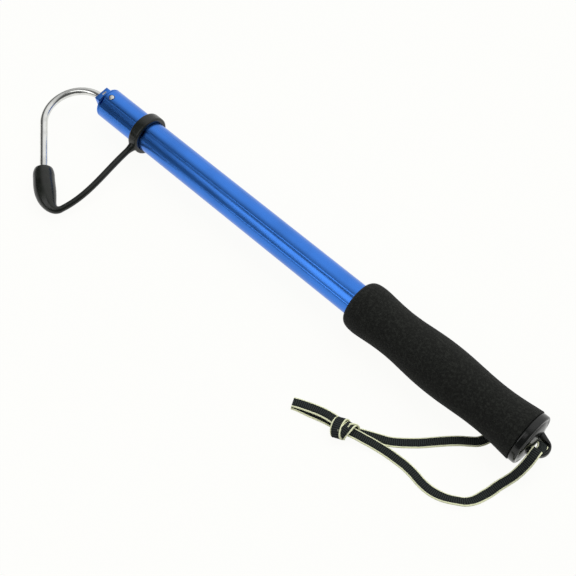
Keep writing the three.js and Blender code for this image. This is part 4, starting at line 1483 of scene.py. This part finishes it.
class GAFF_OT_butt_cap(bpy.types.Operator):
    """Makes the moulded butt cap with its lanyard eye"""

    bl_idname = "gaff.butt_cap"
    bl_label = "Butt cap"

    sweep: turn("Sweep", "How far the eye's loop runs to each side of its end", 127)
    hole_power: FloatProperty(
        name="Hole corners", description="How square the eye's hole is", default=5.0, min=2
    )
    plug_depth: length("Plug depth", "How far the cap's plug goes into the grip", 6)
    plug_radius: length("Plug radius", "Radius of the cap's plug", 9)
    rim: length("Rim", "Rounding of the flange's outer edge", 1.3)
    edge: length("Edge", "Rounding of the flange's inner edge", 0.7)
    groove: length("Groove", "Depth of the groove inside the rim", 0.5)
    dome_seat: length("Dome seat", "Depth in the groove at which the dome starts", 0.4)

    def execute(self, context):
        handle = settings().handle
        start = grip_end() + SEAT_GAP
        flange_end = start + handle.flange
        bm = bmesh.new()
        self.head(bm, start, flange_end)
        self.eye(bm, flange_end)
        piece = mesh_piece(bm, "butt_cap_moulding", [plastic()])
        one_skin(piece, handle.grain, passes=5)
        smooth(piece, sharp=60)
        stand_for(piece, "handle", "black_plastic", "butt_cap", place=level())
        return {"FINISHED"}

    def head(self, bm, start, flange_end):
        """Flange with a rounded rim, a groove inside it and the low dome."""
        handle = settings().handle
        rim, edge, radius = self.rim, self.edge, handle.flange_radius
        groove_radius, dome_radius = radius - 2.1 * rim, radius - 2.4 * rim
        plug_start = start - self.plug_depth
        profile = [(plug_start, 0), (plug_start, self.plug_radius), (start, self.plug_radius)]
        profile += round_corner((start + edge, radius - edge), edge, 180, 90, 5)
        profile += round_corner((flange_end - rim, radius - rim), rim, 90, 0, 7)
        profile.append((flange_end - self.groove, groove_radius))
        for step in range(1, DOME_STEPS + 1):
            angle = RIGHT_ANGLE * step / DOME_STEPS
            place = flange_end - self.dome_seat + (handle.dome + self.dome_seat) * math.sin(angle)
            profile.append((place, dome_radius * math.cos(angle)))
        profile[-1] = (flange_end + handle.dome, 0)
        spin_profile(bm, profile, HEAD_SIDES)

    def eye(self, bm, flange_end):
        """The eye: a loop that is wide at its root, round at its end, with soft edges."""
        handle = settings().handle
        power = self.hole_power
        half_length, half_width = handle.hole_length / 2, handle.hole_width / 2
        middle = handle.eye_reach - handle.eye_end
        hole_middle = handle.eye_reach - handle.end_bar - half_length
        aside = hole_middle - middle
        half_root = handle.eye_root / 2
        meet = math.atan2(middle, half_root) + math.asin(handle.eye_end / math.hypot(middle, half_root))
        lean = Vector((math.cos(meet), math.sin(meet)))
        rings = []
        for number in range(LOOP_STEPS + 1):
            angle = self.sweep * (2 * number / LOOP_STEPS - 1)
            x, y = math.cos(angle), math.sin(angle)
            inner = (abs(x / half_length) ** power + abs(y / half_width) ** power) ** (-1 / power)
            outer = math.sqrt(handle.eye_end**2 - (aside * y) ** 2) - aside * x
            if math.atan2(outer * abs(y), aside + outer * x) > meet:
                outer = (handle.eye_end - aside * lean.x) / (x * lean.x + abs(y) * lean.y)
            out = Vector((x, y, 0))
            centre = Vector((flange_end + hole_middle, 0, 0)) + out * (inner + outer) / 2
            ring = []
            for turned in angles_round(LOOP_SIDES):
                wide = squarish(math.cos(turned)) * (outer - inner) / 2
                high = squarish(math.sin(turned)) * handle.eye_thickness / 2
                ring.append(centre + out * wide + Vector((0, 0, high)))
            rings.append(ring)
        skin(bm, rings)


class GAFF_OT_hidden_parts(bpy.types.Operator):
    """Gives the parts inside the pole their finishes"""

    bl_idname = "gaff.hidden_parts"
    bl_label = "Hidden parts"

    def execute(self, context):
        for node in ("middle_tail_bush", "inner_tail_bush"):
            self.dress(node, nylon())
        for node in ("hook_pin", "middle_rivet_top", "middle_rivet_under"):
            self.dress(node, steel())
        return {"FINISHED"}

    def dress(self, node, chosen):
        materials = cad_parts[node].data.materials
        materials.clear()
        materials.append(chosen)


# Half the floor's side in metres, and the plain light that the camera sees of it
FLOOR_HALF = 6
FLOOR_GLOW = (1, 1, 0.98, 1)

# The sky's light side, and how far a direction faces it where the sky is darkest and lightest
SKY_SIDE = Vector((0, 0.8, 0.6)).normalized()
SKY_DARKEST, SKY_LIGHTEST = 0.3, 0.85

# Sides, place and target of the two lamps, in metres
KEY_LAMP = ((0.9, 0.9), (0.15, 0.55, 1.05), (0, 0, 0))
FILL_LAMP = ((0.42, 1.05), (-0.25, -0.59, 0.68), (0.06, 0.03, 0.02))


class GAFF_OT_stage(bpy.types.Operator):
    """Makes the pale floor and the plain soft light"""

    bl_idname = "gaff.stage"
    bl_label = "Floor and light"

    def execute(self, context):
        context.scene.view_settings.view_transform = "Standard"
        self.floor()
        self.sky(context.scene)
        light = settings().light
        key = self.lamp("key", light.key, *KEY_LAMP)
        key.visible_glossy = False
        self.lamp("fill", light.fill, *FILL_LAMP)
        return {"FINISHED"}

    def floor(self):
        bm = bmesh.new()
        bmesh.ops.create_grid(bm, x_segments=1, y_segments=1, size=FLOOR_HALF)
        pale = {"Base Color": with_alpha(settings().colours.floor), "Roughness": 0.9}
        mesh_piece(bm, "floor", [finish("pale_floor", self.shine, pale)])

    def shine(self, tree, shader):
        """Mixes plain light into the floor, for rays that show the background."""
        glow = add_node(tree, "Emission", {"Color": FLOOR_GLOW, "Strength": 1.0}).outputs["Emission"]
        part = calculate(tree, "MULTIPLY", self.seen_rays(tree), settings().light.floor_glow)
        mixed = add_node(tree, "MixShader", {0: part, 1: shader.outputs["BSDF"], 2: glow})
        plug(tree, tree.nodes["Material Output"].inputs["Surface"], mixed.outputs["Shader"])

    def seen_rays(self, tree):
        """One for rays that show the background: from the camera, off gloss or through glass."""
        path = add_node(tree, "LightPath").outputs
        first = calculate(tree, "MAXIMUM", path["Is Camera Ray"], path["Is Glossy Ray"])
        return calculate(tree, "MAXIMUM", first, path["Is Transmission Ray"])

    def sky(self, scene):
        """A soft sky that is light above and behind, and darker low down on the near side."""
        light = settings().light
        world = bpy.data.worlds.new("studio")
        world.use_nodes = True
        scene.world = world
        tree = world.node_tree
        background = tree.nodes["Background"].inputs
        background["Color"].default_value = (1, 1, 1, 1)
        place = add_node(tree, "TexCoord").outputs["Generated"]
        facing = add_node(tree, "VectorMath", {0: place, 1: SKY_SIDE}, operation="DOT_PRODUCT")
        given = {
            "Value": facing.outputs["Value"], "From Min": SKY_DARKEST, "From Max": SKY_LIGHTEST,
            "To Min": light.shade, "To Max": light.sky,
        }
        lit = add_node(tree, "MapRange", given, interpolation_type="SMOOTHSTEP").outputs["Result"]
        camera_ray = add_node(tree, "LightPath").outputs["Is Camera Ray"]
        shown = add_node(tree, "Mix", {"Factor": camera_ray, "A": lit, "B": 1.0})
        plug(tree, background["Strength"], shown.outputs["Result"])

    def lamp(self, name, power, sides, place, target):
        """A soft lamp with a rectangular face, aimed at a target."""
        data = bpy.data.lights.new(name, "AREA")
        data.shape = "RECTANGLE"
        data.size, data.size_y = sides
        data.energy = power
        lamp = bpy.data.objects.new(name, data)
        lamp.location = place
        aim = Vector(target) - Vector(place)
        lamp.rotation_euler = aim.to_track_quat("-Z", "Y").to_euler()
        bpy.context.scene.collection.objects.link(lamp)
        return lamp


GROUPS = (GaffPole, GaffHook, GaffGuard, GaffHandle, GaffLanyard, GaffColours, GaffLight, GaffSettings)
OPERATORS = (
    GAFF_OT_camera, GAFF_OT_lanyard, GAFF_OT_tubes, GAFF_OT_collars, GAFF_OT_rivets, GAFF_OT_holder,
    GAFF_OT_hook, GAFF_OT_guard, GAFF_OT_grip, GAFF_OT_butt_cap, GAFF_OT_hidden_parts, GAFF_OT_stage,
)


class GAFF_PT_sidebar(bpy.types.Panel):
    """Lists the steps that build the gaff, and its colours and lights"""

    bl_idname = "GAFF_PT_sidebar"
    bl_label = "Telescopic Gaff"
    bl_space_type = "VIEW_3D"
    bl_region_type = "UI"
    bl_category = "Gaff"

    def draw(self, context):
        for operator in OPERATORS:
            self.layout.operator(operator.bl_idname)
        for group in (settings().colours, settings().light):
            box = self.layout.box()
            for name in group.bl_rna.properties.keys():
                if name not in ("rna_type", "name"):
                    box.prop(group, name)


def register():
    for made in (*GROUPS, *OPERATORS, GAFF_PT_sidebar):
        bpy.utils.register_class(made)
    bpy.types.Scene.gaff = settings_of(GaffSettings, "Gaff", "Sizes, colours and lights of the gaff")


def unregister():
    del bpy.types.Scene.gaff
    for made in reversed((*GROUPS, *OPERATORS, GAFF_PT_sidebar)):
        bpy.utils.unregister_class(made)


def main():
    register()
    for operator in OPERATORS:
        family, name = operator.bl_idname.split(".")
        getattr(getattr(bpy.ops, family), name)()


if __name__ == "__main__":
    main()
